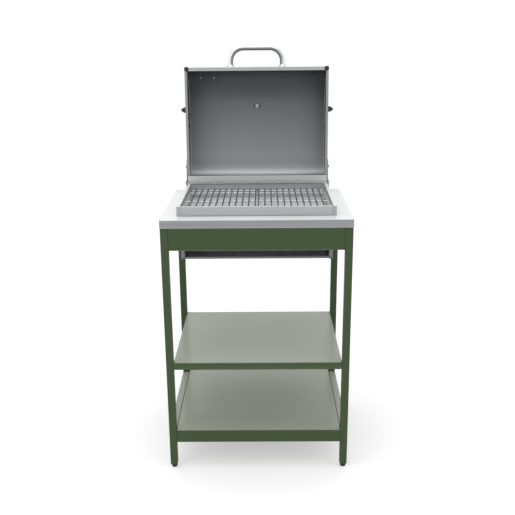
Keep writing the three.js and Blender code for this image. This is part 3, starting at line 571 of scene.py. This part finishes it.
def worktop_rings():
    """Rings from the cut-out over the top, round the fold, down, in along the return flange, back
    out above it, up inside and in to the cut-out's lower edge, which joins the first ring."""
    bend, top, foot = 1.3, high[2], low[2]
    ring = lambda inset, z, w: (low[0] + inset, high[0] - inset, low[1] + inset, high[1] - inset,
                                max(3.0 - inset, 0.4), z, w)
    t = np.linspace(0, np.pi / 2, 6)
    outer = [ring(bend * (1 - math.sin(a)), top - bend * (1 - math.cos(a)), 1) for a in t]
    lower = [ring(bend * (1 - math.cos(a)), foot + bend * (1 - math.sin(a)), 1) for a in t]
    s = worktop_sheet
    return framed([
        (*hole, 2.0, top - 0.3, 1), (*(hole + 0.3 * outwards), 2.2, top, 1),
        (*(hole + 2 * outwards), 3, top, 0), ring(bend + 2, top, 0), *outer,
        ring(0, top - bend - 2, 0), ring(0, foot + bend + 2, 0), *lower, ring(bend + 2, foot, 0),
        ring(flange_in, foot, 1), ring(flange_in, foot + s, 1), ring(s + 0.6, foot + s, 0),
        ring(s, foot + s + 0.6, 0), ring(s, top - s - 0.6, 0), ring(s + 0.6, top - s, 0),
        (*hole, 2.0, top - s, 0)], 5)


solid("worktop", [worktop_rings()], worktop_edge, "frame", ["worktop"], looped=True,
      lining=[(worktop_top_painted_light, faces_up(0.9))])


# ------------ firebox
# A deep rectangular tub of 1.5 mm stainless, open underneath between two flanges for the ash tray,
# with a slot for it in the front wall, two coal ledges, and a hole through each side wall.

firebox_steel = brushed("satin firebox steel", "6a6c6e", "828486", 0, 0.38)


def painted_shade_by_height(finish, stops):
    """Darkens a finish by height with painted shade: a ramp of (height in metres, share) stops
    multiplies its tint.
    """
    low, high = stops[0][0], stops[-1][0]
    height = finish.node("ShaderNodeSeparateXYZ", inputs={0: finish.place()}, output=2)
    ramp = [((z - low) / (high - low), share) for z, share in stops]
    share = finish.node("ShaderNodeValToRGB", {"stops": ramp}, {0: (height - low) / (high - low)})
    tint = Reading(finish.tree, finish.shader.inputs["Base Color"].links[0].from_socket)
    finish.feed(Base_Color=finish.node(
        "ShaderNodeMix", {"data_type": "RGBA", "blend_type": "MULTIPLY"}, {0: 1.0, 6: tint, 7: share}, 2))
    return finish


# Inside: a far lighter copy of the tub steel (painted light), darkened above the grates (painted shade).
firebox_inside = painted_shade_by_height(brushed("firebox inside steel", "dedfe2", "ecedf0", 0, 0.42, metal=0.2),
                         [(0.74, 1.0), (0.896, 1.0), (0.908, 0.45), (0.93, 0.38)])


def softened(node, finish, body, bevel=0.5, lining=()):
    """A copy of a CAD node with its loose triangles merged into whole faces and its edges rounded."""
    work = bmesh.new()
    work.from_mesh(frame["nodes"][node].data)
    bmesh.ops.remove_doubles(work, verts=work.verts, dist=0.00002)
    bmesh.ops.dissolve_limit(work, angle_limit=math.radians(0.5), verts=work.verts,
                             edges=work.edges)
    mesh = bpy.data.meshes.new(node)
    work.to_mesh(mesh)
    work.free()
    mesh.materials.clear()
    piece = bpy.data.objects.new(f"{node}_finished", mesh)
    scene.collection.objects.link(piece)
    return dressed(piece, finish, body, [node], bevel, lining=lining)


def inside_tub(middle, normal):
    """Faces of the tub that look at its middle."""
    towards = (tub_low + tub_high) / 2 - middle
    return (towards[:, :2] * normal[:, :2]).sum(1) > 1


softened("firebox", firebox_steel, "frame", 0.3,
         lining=[(firebox_inside, inside_tub)])


# ------------ firebox rim
# Four folded strips hide the tub's raw edge and stand on the worktop: a fascia and a rear strip,
# between two side strips whose ends are folded round as tabs. The side strips' tops are painted
# lighter, painted light; the rear one's top is darker, painted shade.

rim_steel = brushed("brushed rim steel", "a2a3a6", "b9babd", 0, 0.30)
# The side strips' tops take this lighter copy of the rim steel: painted light.
rim_top_painted_light = brushed("rim top steel, painted light", "d2d3d4", "e2e3e3", 1, 0.38, metal=0.4)
side_rim_steel = brushed("brushed side rim steel", "9c9da0", "b6b7ba", 1, 0.30)
# The rear strip's top is painted dark: painted shade under the open lid.
rear_rim_top_painted_shade = brushed("rear rim top steel, painted shade", "3d3f41", "505254", 0, 0.58, metal=0.4, rubbed=0)


def strip(node, foot, inner, outer, hold=1.4, seam=False):
    """An upright strip along x with a flange folded back along its top. foot, inner and outer are
    the radii at its lower edge and inside and outside the fold; a seam's lower edge and ends carry a
    painted shadow line."""
    low, high = extent(node)
    tall, wide, forward = high[2] - low[2], high[1] - low[1], "front" in node
    outline = rounded([(0, 0, foot), (sheet, 0, foot), (sheet, tall - sheet, inner),
                       (wide, tall - sheet, 0.2), (wide, tall, 0.2), (0, tall, outer)], hold=hold)
    if seam:
        # The lower edge gets a painted shadow line.
        outline[outline[:, 1] < 1.0, 2] = -1
    place = lambda depth, rise: (low[1] + depth if forward else high[1] - depth, low[2] + rise)
    return carried(outline, 0, low[0], high[0], place, -0.6 if seam else 1.0)


for node, tops in (("front_fascia", rim_steel), ("rear_rim", rear_rim_top_painted_shade)):
    solid(node, [strip(node, 0.3, 0.4, 1.4, seam=True)], rim_steel, "frame", [node],
          lining=[(tops, faces_up(0.3))])
for side in ("left", "right"):
    softened(f"side_rim_{side}", side_rim_steel, "frame", 0.7,
             lining=[(rim_top_painted_light, faces_up(0.3))])


# ------------ grate ledges
# Two small angles of the tub's own sheet, spot welded inside its front and rear walls, on which the
# ends of the grate bars lie.

for node in ("grate_ledge_front", "grate_ledge_rear"):
    solid(node, [strip(node, 0.2, 0.5, 1.2, hold=0.6)], firebox_inside, "frame",
          [node])


# ------------ charcoal tray and ash tray
# Two folded stainless pans. The upper one has air slots and lies on the coal ledges; the lower one
# hangs by its side flanges and slides out under the front apron by its low lip.

tray_steel = brushed("satin tray steel", "d4d5d7", "e0e1e3", 0, 0.45, 0.14, 0.10, metal=0.1)
ash_steel = brushed("dull tray steel", "5f6163", "77797b", 0, 0.40, 0.14, 0.10)
# The ash tray's upward faces take this lighter copy of its steel: painted light.
ash_floor_painted_light = brushed("tray floor steel", "969799", "a8a9ab", 0, 0.45, 0.14, 0.10, metal=0.2)
softened("charcoal_tray", tray_steel, "coal_tray", 0.4)
softened("ash_tray", ash_steel, "ash_drawer", 0.4,
         lining=[(ash_floor_painted_light, faces_up(0.9))])


# ------------ cooking grates
# Two grates of bright 5 mm rod side by side: eleven bars front to back, resistance welded onto five
# cross rods that lie underneath them.

bar_steel = brushed("drawn bar steel", "6a6c6f", "828487", 1, 0.34, 0.06, 0.05)
rod_steel = brushed("bright rod steel", "a9aaac", "c9cacb", 0, 0.26, 0.06, 0.05)
bar_spacing, bar_pitch, rod_radius = 11.0, 22.2, 2.5
rod_insets, middle_rod = (9.5, 49.5), -11.0
both_sides = (("left", -1), ("right", 1))


def rods(starts, length, axis):
    """Equal round rods with eased ends, one from each start along the axis."""
    r = rod_radius
    profile = rounded([(0.5 * r, 0, 0), (r, 0, 0.7), (r, length, 0.7), (0.5 * r, length, 0)],
                      closed=False, hold=0.5)
    return [turned(profile * [1, 1, 0], start, axis, 14) for start in starts]


for side, sign in both_sides:
    node = f"cooking_grate_{side}"
    low, high = extent(node)
    bar_z, rod_z = high[2] - rod_radius, low[2] + rod_radius
    count = int((max(abs(low[0]), abs(high[0])) - bar_spacing / 2) / bar_pitch) + 1
    bar_starts = [(sign * (bar_spacing / 2 + i * bar_pitch), low[1], bar_z) for i in range(count)]
    middle = (low[1] + high[1]) / 2 + middle_rod
    rod_rows = [low[1] + rod_insets[0], low[1] + rod_insets[1], middle,
                high[1] - rod_insets[1], high[1] - rod_insets[0]]
    rod_starts = [(low[0], y, rod_z) for y in rod_rows]
    bars = rods(bar_starts, high[1] - low[1], (0, 1, 0))
    cross_rods = rods(rod_starts, high[0] - low[0], (1, 0, 0))
    solid(node, bars + cross_rods, bar_steel, f"{side}_grate", [node],
          lining=[(rod_steel, lambda middle, normal: middle[:, 2] < rod_z + rod_radius - 0.4)])


# ------------ hinge ears and pins
# A 2.5 mm plate stands off each side rim on a spacer block and carries the hinge pin, whose domed
# head is on the outside.

hinge_steel = brushed("satin hinge steel", "8d8e90", "a9aaac", 2, 0.34)
bright_steel = brushed("polished steel", "c4c5c6", "dcddde", 0, 0.14, 0.04, 0.04)
plate, eye_radius = 2.5, 9.0
for side, sign in both_sides:
    node = f"hinge_ear_{side}"
    low, high = extent(node)
    pin_y, pin_z = high[1] - eye_radius, high[2] - eye_radius
    outline = rounded([
        (low[1], low[2], 0.8), (pin_y, low[2], 0.8), (high[1] + 0.3, high[2], 8.6),
        (pin_y - eye_radius - 0.6, high[2], 8.6), (low[1], pin_z - 16.6, 1.5)])
    outer = high[0] if sign > 0 else low[0]
    inner = outer - sign * plate
    block_x = sorted([inner + sign * 0.2, low[0] if sign > 0 else high[0]])
    spacer = framed([(*block_x, low[1], pin_y - 2.4, 0.8, z, 0) for z in (low[2], low[2] + 19)])
    solid(node, [carried(outline, 0, *sorted([inner, outer])), spacer], hinge_steel, "frame",
          [node], bevel=0.4)

    node = f"hinge_pin_{side}"
    low, high = extent(node)
    reach = high[0] - low[0]
    start = low[0] if sign > 0 else high[0]
    profile = rounded([(1.5, 0, 0), (3, 0, 0.4), (3, reach - 3, 0.2), (6, reach - 3, 0.4),
                       (6, reach - 1.6, 1.0), (4.4, reach - 0.2, 2), (1.5, reach, 0)],
                      closed=False, hold=0.4)
    solid(node, [turned(profile, (start, pin_y, pin_z), (sign, 0, 0))], bright_steel, "frame",
          [node])


# ------------ lid shell
# One wide sheet rolled to a large curve over the front of the closed lid and a small one at the
# back, with both edges folded in and a drip edge at the rear. It is measured closed, then turned
# open on its pins. Its inside carries painted shade, a ramp by height.

lid_steel = brushed("satin lid steel", "9fa0a3", "b5b6b9", 0, 0.36, 0.10, 0.10)
lid_lining_steel = brushed("lid inside steel", "c2c3c5", "cfd0d2", 0, 0.44, 0.08, 0.10, rubbed=0)
# The ramp is painted shade on the lid's inside, deepest high up in the open lid.
lid_inside = painted_shade_by_height(lid_lining_steel, [
    (0.922, 0.50), (0.930, 0.57), (0.938, 0.60), (0.946, 0.67), (0.954, 0.74), (0.963, 0.77),
    (0.967, 0.73), (0.971, 0.65), (0.977, 0.60), (0.990, 0.55), (1.004, 0.54), (1.044, 0.44),
    (1.084, 0.38), (1.124, 0.33), (1.164, 0.28), (1.209, 0.24), (1.229, 0.22), (1.249, 0.24),
    (1.270, 0.27), (1.291, 0.34), (1.310, 0.45)])
# The rear flange's outer face takes this lighter copy of the lid steel: a painted highlight.
flange_painted_highlight = brushed("flange steel, painted highlight", "b2b3b3", "c6c7c6", 0, 0.30, metal=0.5)
# The drip edge is painted near white and matt: a painted reflection of the worktop behind it.
lip_painted_reflection = brushed("bright lip steel", "f2f2f0", "fafaf8", 0, 0.5, metal=0)
hinge = next(j for j in frame["joints"] if j["name"] == "lid_hinge")
open_turn = math.radians(93.4)
pin_at = np.array(hinge["pos_m"]) * 1000
pin_along, pin_up = 3.0, 1.4
lid_length, lid_height, front_rise, front_radius, rear_radius = 420.0, 165.0, 25.0, 140.0, 40.0
rear_flange, front_flange, slope, drip_edge, shell_end = 27.0, 406.0, 10.0, 4.2, 260.2


def on_lid(rings):
    """Turns (x, along from the rear edge, up from the opening plane) into the open lid's place:
    y = pin + (3 - along) cos a + (up - 1.4) sin a, z = pin - (3 - along) sin a + (up - 1.4) cos a."""
    placed = np.array(rings, float)
    back, rise = pin_along - placed[..., 1], placed[..., 2] - pin_up
    placed[..., 1] = pin_at[1] + back * math.cos(open_turn) + rise * math.sin(open_turn)
    placed[..., 2] = pin_at[2] - back * math.sin(open_turn) + rise * math.cos(open_turn)
    return placed


shell_outline = rounded([
    (rear_flange, 0, 0.3), (slope, 0, 3.5), (-drip_edge, slope + drip_edge, 0.6),
    (0, slope + 2 * drip_edge, 1.0), (0, lid_height, rear_radius),
    (lid_length, lid_height, front_radius), (lid_length, 0, 2.0), (front_flange, 0, 0.3),
    (front_flange, sheet, 0.3), (lid_length - sheet, sheet, 0.6),
    (lid_length - sheet, lid_height - sheet, front_radius - sheet),
    (sheet, lid_height - sheet, rear_radius - sheet),
    (sheet, slope + 0.6, 2.4), (slope + 0.6, sheet, 2.4), (rear_flange, sheet, 0.3)])


def off_lid(middle, normal):
    """The lid's own (along, up) of points and normals: on_lid's formulas read backwards."""
    c, s = math.cos(open_turn), math.sin(open_turn)
    y, z = middle[:, 1] - pin_at[1], middle[:, 2] - pin_at[2]
    flat = np.stack([pin_along - (y * c - z * s), pin_up + y * s + z * c], 1)
    facing = np.stack([normal[:, 2] * s - normal[:, 1] * c, normal[:, 1] * s + normal[:, 2] * c], 1)
    return flat, facing


def within_shell(middle, normal):
    """Faces that look towards the hollow: their normal points at the middle of the lid's section."""
    flat, facing = off_lid(middle, normal)
    towards = np.array([225.0, 60.0]) - flat
    return ((towards * facing).sum(1) > 0) & (flat[:, 1] > 1.2)


def on_flange(middle, normal):
    """The outer face of the rear flange."""
    flat, facing = off_lid(middle, normal)
    return (flat[:, 0] < rear_flange) & (facing[:, 1] < -0.9)


def on_drip_edge(middle, normal):
    """The outer face of the slope between the rear flange and the back."""
    flat, facing = off_lid(middle, normal)
    return (flat[:, 0] < rear_flange) & (facing < -0.3).all(1)


solid("lid_shell", [on_lid(carried(shell_outline, 0, -shell_end, shell_end))], lid_steel, "lid",
      ["lid_shell"],
      lining=[(lid_inside, within_shell), (flange_painted_highlight, on_flange), (lip_painted_reflection, on_drip_edge)])


# ------------ lid ends
# Flat plates the shape of the lid's section, spot welded into its two ends, each with four vent
# holes and a flange turned in along the opening.

lid_end_steel = brushed("satin lid end steel", "88898c", "9c9da0", 2, 0.36, 0.10, 0.10)


def within_end(middle, normal):
    """Faces of an end plate that look at the other end, above its turned-in flange."""
    return (middle[:, 0] * normal[:, 0] < 0) & (off_lid(middle, normal)[0][:, 1] > 1.2)


for side in ("left", "right"):
    softened(f"lid_end_{side}", lid_end_steel, "lid", 0.4,
             lining=[(lid_inside, within_end)])


# ------------ hinge straps and bolts
# A tapering 2.5 mm strap on each end plate, held by a black bolt whose head and nut show on both
# sides, with its eye on the hinge pin.

def blackened():
    """Blackened steel: near black oxide, a little brown in places, with a dull shine."""
    finish = Finish("blackened steel", Metallic=0.6)
    place = finish.place()
    cloud = finish.noise(place, 130, 3)
    finish.feed(Base_Color=finish.blend(cloud, paint("141516"), paint("2c2b2a")),
                Roughness=0.38 + 0.2 * cloud,
                Normal=finish.bump(finish.noise(place, 1800, 2), 0.00005, 0.5))
    return finish


black_bolt = blackened()
strap_bolt_at = (60, 13)


def bolt(node, sign, at, head, shank, sides, head_high=3):
    """A bolt through an end plate at (along, up) on the lid: a domed head inside, a shank and a head
    outside, turned on so many sides."""
    inside, outside = sorted(abs(corner[0]) for corner in extent(node))
    reach = outside - inside
    profile = rounded([
        (head * 0.5, 0, 0), (head - 0.2, 0, 0.8), (head, head_high, 0.2), (shank, head_high, 0.1),
        (shank, reach - head_high, 0.1), (head, reach - head_high, 0.2), (head - 0.2, reach, 0.8),
        (head * 0.5, reach, 0)], closed=False, hold=0.3)
    return on_lid(turned(profile, (sign * inside, *at), (sign, 0, 0), sides))


for side, sign in both_sides:
    node = f"hinge_strap_{side}"
    low, high = extent(node)
    outline = rounded([(-6, -8.6, 8.7), (88, 4, 2.5), (88, 22, 2.5), (-6, 9.2, 8.7)])
    solid(node, [on_lid(carried(outline, 0, low[0], high[0]))], hinge_steel, "lid",
          [node], bevel=0.4)
    node = f"strap_bolt_{side}"
    solid(node, [bolt(node, sign, strap_bolt_at, 4.75, 2.5, 24)], black_bolt, "lid",
          [node])


# ------------ handle and ferrules
# An 18 mm bright tube bent to a wide U and bolted from inside the lid's front, each end in a turned
# ferrule. Its inner side is painted darker, a painted reflection.

handle_half, handle_reach, handle_bend, handle_radius, handle_up = 94.0, 66.0, 46.0, 9.0, 25.0
# Its fold tint is dark: a painted reflection on the tube's inner side.
handle_steel = brushed("polished handle tube", "e0e1e2", "e0e1e2", 0, 0.16, 0.04, 0.04, rubbed=1.0,
                       worn_and_painted_tint="77787a")


def handle_rings():
    """A circle carried along leg, quarter bend, grip, quarter bend and leg, level with the opening:
    P(s) + radius (cos t * side + sin t * up). The fold column is 1 on the inner side, where it
    carries a darker painted reflection."""
    foot, top, b = lid_length + 0.3, lid_length + handle_reach, handle_bend
    t = np.linspace(0, np.pi / 2, 20)
    right_half = np.array([(handle_half, foot), (handle_half, foot + 1.5)] + [
        (handle_half - b + b * math.cos(a), top - b + b * math.sin(a)) for a in t])
    line = np.concatenate([right_half, (right_half * [-1, 1])[::-1]])
    heading = np.gradient(line, axis=0)
    heading /= np.linalg.norm(heading, axis=1, keepdims=True)
    side = np.stack([heading[:, 1], -heading[:, 0]], 1)
    turn = np.arange(32) * 2 * np.pi / 32
    rings = np.zeros((len(line), 32, 4))
    rings[..., :2] = line[:, None] + handle_radius * np.cos(turn)[:, None] * side[:, None]
    rings[..., 2] = handle_up + handle_radius * np.sin(turn)
    rings[..., 3] = np.clip((0.45 - np.cos(turn)) / 0.7, 0, 1)
    return on_lid(rings)


solid("lid_handle", [handle_rings()], handle_steel, "lid", ["lid_handle"])
for side, sign in both_sides:
    ferrule = rounded([(9.3, 0, 0.1), (15, 0, 0.5), (15, 2.1, 0.9), (11.3, 6.4, 1.6),
                       (10.6, 7, 0.5), (9.3, 7, 0.2)], hold=0.3)
    foot = (sign * handle_half, lid_length + 0.3, handle_up)
    node = f"handle_ferrule_{side}"
    solid(node, [on_lid(turned(ferrule, foot, (0, 1, 0)))], bright_steel, "lid",
          [node], looped=True)


# ------------ corner bumpers
# Two moulded black buttons pushed into the lid's front flange, one near each corner, which land on
# the rim when the lid is let down.

bumper_x, bumper_along = 254.5, 412.5
for side, sign in both_sides:
    profile = rounded([(4, -3.2, 0), (8.5, -3.2, 1.4), (8.5, -0.3, 0.5), (3, -0.3, 0.1), (3, 1.8, 0.1),
                       (5, 1.8, 0.4), (3, 5.8, 0.5), (1.5, 5.8, 0)], closed=False, hold=0.4)
    foot = (sign * bumper_x, bumper_along, 0)
    solid(f"bumper_{side}", [on_lid(turned(profile, foot, (0, 0, 1)))], black_plastic, "lid",
          [f"bumper_{side}"])


# ------------ dampers
# On each end of the lid a stainless disc with four vents turns on a black pivot bolt. Its arm ends
# in a tapered black knob.

damper_steel = brushed("polished damper steel", "b9babc", "d0d1d2", 2, 0.22)
damper_at, knob_along = (206, 95), 266
for side, sign in both_sides:
    body = f"{side}_damper"
    softened(f"damper_{side}", damper_steel, body, 0.4)
    node = f"damper_pivot_{side}"
    solid(node, [bolt(node, sign, damper_at, 6, 3, 32)], black_bolt, "lid", [node])
    knob = rounded([(3, 0, 0), (5.8, 0, 0.6), (5.8, 3.4, 1.5), (10.5, 6.0, 2.2), (10.5, 11.5, 5.5),
                    (3.6, 23, 2.4), (1.2, 23, 0)], closed=False, hold=0.5)
    node = f"damper_knob_{side}"
    foot = (sign * min(abs(corner[0]) for corner in extent(node)), knob_along, damper_at[1])
    solid(node, [on_lid(turned(knob, foot, (sign, 0, 0)))], black_plastic, body,
          [node])


# ------------ thermometer
# A bimetal thermometer in the top of the lid: a polished case with a white dial, red pointer and
# domed glass outside, and a stem with a wing nut inside.

gauge_along, gauge_up = 278.0, 165.3
at_gauge = (0, gauge_along, gauge_up)
case = rounded([(1.2, -45, 0), (2.4, -45, 0.6), (4, -39, 1.5), (4, 0, 0.2), (24, 0, 1.0), (28, 4, 2.5),
                (28, 17, 1.2), (26.8, 18, 0.8), (25, 18, 0.6), (25, 11, 0.2), (12, 11, 0)],
               closed=False, hold=0.4)
solid("gauge_case", [on_lid(turned(case, at_gauge, (0, 0, 1), 64))], bright_steel, "lid",
      ["gauge_case"])


def dial_face():
    """A printed dial: long and short ticks round 270 degrees, from the angle and the radius, on warm
    white, with a red arc at the hot end."""
    finish = Finish("printed dial", Roughness=0.5)
    centre = on_lid(np.array([0, gauge_along, gauge_up + 12.3, 0.0]))[:3] / 1000
    flat = finish.node("ShaderNodeMapping", inputs={
        "Vector": finish.node("ShaderNodeVectorMath", {"operation": "SUBTRACT"},
                              {0: finish.place(), 1: tuple(centre)}),
        "Rotation": (open_turn, 0, 0)})
    x = finish.node("ShaderNodeSeparateXYZ", inputs={0: flat}, output=0)
    y = finish.node("ShaderNodeSeparateXYZ", inputs={0: flat}, output=1)
    radius = (x * x + y * y) ** 0.5
    turn = x.apply("ARCTAN2", y) / (2 * math.pi)

    def off_tick(ticks):
        """How far the angle is from the nearest of so many ticks to the turn, 0.5 midway."""
        return ((turn * ticks + (ticks + 0.5)).apply("FRACT") - 0.5).apply("ABSOLUTE")

    def between(inner, outer):
        return (radius > inner) * (radius < outer)

    short = (off_tick(48) < 0.13) * between(0.0205, 0.0232)
    long = (off_tick(8) < 0.032) * between(0.0175, 0.0232)
    arc = between(0.0150, 0.0162) * (turn > 0.2) * (turn < 0.375)
    scale = turn.apply("ABSOLUTE") < 0.378
    ink = (short + long).apply("MINIMUM", 1) * scale
    warm = finish.blend(finish.noise(finish.place(), 40), paint("ecece6"), paint("f3f3ee"))
    face = finish.blend(arc, warm, paint("b8352a"))
    finish.feed(Base_Color=finish.blend(ink, face, paint("202224")))
    return finish


disc = rounded([(12, 11.3, 0), (24.7, 11.3, 0.1), (24.7, 12.3, 0.1), (12, 12.3, 0)],
               closed=False, hold=0.2)
solid("gauge_dial", [on_lid(turned(disc, at_gauge, (0, 0, 1), 64))], dial_face(), "lid",
      ["gauge_dial"])

red_enamel = Finish("red enamel", IOR=1.5)
enamel_cloud = red_enamel.noise(red_enamel.place(), 300, 2)
red_enamel.feed(Base_Color=red_enamel.blend(enamel_cloud, paint("a32019"), paint("b52a20")),
                Roughness=0.35 + 0.15 * enamel_cloud)


def pointer_rings():
    """The blade as a rounded outline, lifted from its lower to its upper face, turned to the low
    end of the scale."""
    blade = rounded([(-6, -1.2, 0.3), (20, -0.25, 0.1), (20, 0.25, 0.1), (-6, 1.2, 0.3)], hold=0.3)
    low_end = math.radians(225)
    u = blade[:, 0] * math.cos(low_end) - blade[:, 1] * math.sin(low_end)
    v = blade[:, 0] * math.sin(low_end) + blade[:, 1] * math.cos(low_end)
    rings = np.zeros((2, len(blade), 4))
    rings[..., 0], rings[..., 1] = u, gauge_along - v
    rings[..., 2] = gauge_up + np.array([[12.6], [13.2]])
    return rings


boss = rounded([(1, 12.6, 0), (3, 12.6, 0.1), (3, 14.0, 0.5), (1, 14.0, 0)], closed=False, hold=0.2)
boss = turned(boss, at_gauge, (0, 0, 1), 32)
solid("gauge_needle", [on_lid(pointer_rings()), on_lid(boss)], red_enamel, "gauge_pointer",
      ["gauge_needle"])

glass = Finish("gauge glass", Roughness=0.04, IOR=1.45, Alpha=0.16)
glass_haze = glass.noise(glass.place(), 35, 2)
glass.feed(Base_Color=glass.blend(glass_haze, paint("e9efef"), paint("f6f9f9")))
dome = rounded([(8, 15.5, 0), (24.7, 15.5, 0.2), (24.7, 16.0, 0.2), (18, 16.7, 8), (8, 17.0, 0)],
               closed=False, hold=0.3)
solid("gauge_glass", [on_lid(turned(dome, at_gauge, (0, 0, 1), 64))], glass, "lid",
      ["gauge_glass"])


def wing_rings(sign):
    """One wing of the nut: flat rings carried outwards from the boss, each an ellipse whose height
    swells and whose thickness thins, P = centre + (thick cos t, tall sin t)."""
    out = np.linspace(5.5, 13.4, 9)
    share = (out - 5.5) / 7.9
    thick = 1.5 * (1 - 0.35 * share ** 3)
    tall = (4.2 + 2.0 * np.sin(share * 2.2)) * np.sqrt(np.clip(1.02 - share ** 6, 0.02, 1))
    mid = -12.6 + 3.4 - 1.8 * share
    t = np.arange(20) * 2 * np.pi / 20
    rings = np.zeros((9, 20, 4))
    rings[..., 0] = sign * out[:, None]
    rings[..., 1] = gauge_along + thick[:, None] * np.cos(t)
    rings[..., 2] = gauge_up + mid[:, None] + tall[:, None] * np.sin(t)
    return rings


# The wings take a dark copy of the nut's steel: painted shade.
wing_painted_shade = brushed("wing steel, painted shade", "3a3c3e", "505254", 0, 0.4)
nut = rounded([(4.3, -10.1, 0.2), (6.2, -10.1, 0.8), (7, -2.1, 0.4), (4.3, -2.1, 0.2)], hold=0.3)
nut = turned(nut, at_gauge, (0, 0, 1))
nut = np.concatenate([nut, nut[:1]])
solid("gauge_wing_nut", [on_lid(nut), on_lid(wing_rings(-1)), on_lid(wing_rings(1))], bright_steel,
      "lid", ["gauge_wing_nut"],
      lining=[(wing_painted_shade, lambda middle, normal: abs(middle[:, 0]) > 5.8)])


# ------------ badge
# A blank bright plate bent to the lid's front curve and held by two domed rivets, whose tails show
# inside.

badge_turn, badge_x, badge_half, badge_tall, badge_thick = math.radians(42), -188.0, 38.0, 20.0, 1.0
rivet_apart = 25.5
curve_centre = np.array([lid_length - front_radius, front_rise])


def badge_rings():
    """The plate's outline in section is two arcs about the lid curve's centre, carried along x."""
    spread = badge_tall / 2 / front_radius
    t = badge_turn + np.linspace(-spread, spread, 9)
    out, back = front_radius + 0.9 + badge_thick, front_radius + 0.6
    outer = curve_centre + out * np.stack([np.cos(t), np.sin(t)], 1)
    inner = curve_centre + back * np.stack([np.cos(t), np.sin(t)], 1)
    outline = np.concatenate([outer, inner[::-1]])
    outline = np.concatenate([outline, np.zeros((len(outline), 1))], 1)
    return carried(outline, 0, badge_x - badge_half, badge_x + badge_half)


badge_steel = brushed("brushed badge steel", "8e8f91", "a2a3a5", 0, 0.26)
solid("badge_plate", [on_lid(badge_rings())], badge_steel, "lid", ["badge_plate"],
      bevel=0.25)
badge_normal = (0, math.cos(badge_turn), math.sin(badge_turn))
badge_foot = curve_centre + front_radius * np.array([math.cos(badge_turn), math.sin(badge_turn)])
for side, sign in both_sides:
    rivet = rounded([(1.5, -3.8, 0), (3.5, -3.8, 1.0), (4.5, -1.8, 0.3), (2, -1.8, 0.1), (2, 1.9, 0.1),
                     (4, 2.0, 0.3), (3.0, 3.0, 1.0), (1.2, 3.2, 0)], closed=False, hold=0.3)
    rivet = turned(rivet, (badge_x + sign * rivet_apart, *badge_foot), badge_normal, 32)
    solid(f"badge_rivet_{side}", [on_lid(rivet)], bright_steel, "lid",
          [f"badge_rivet_{side}"])
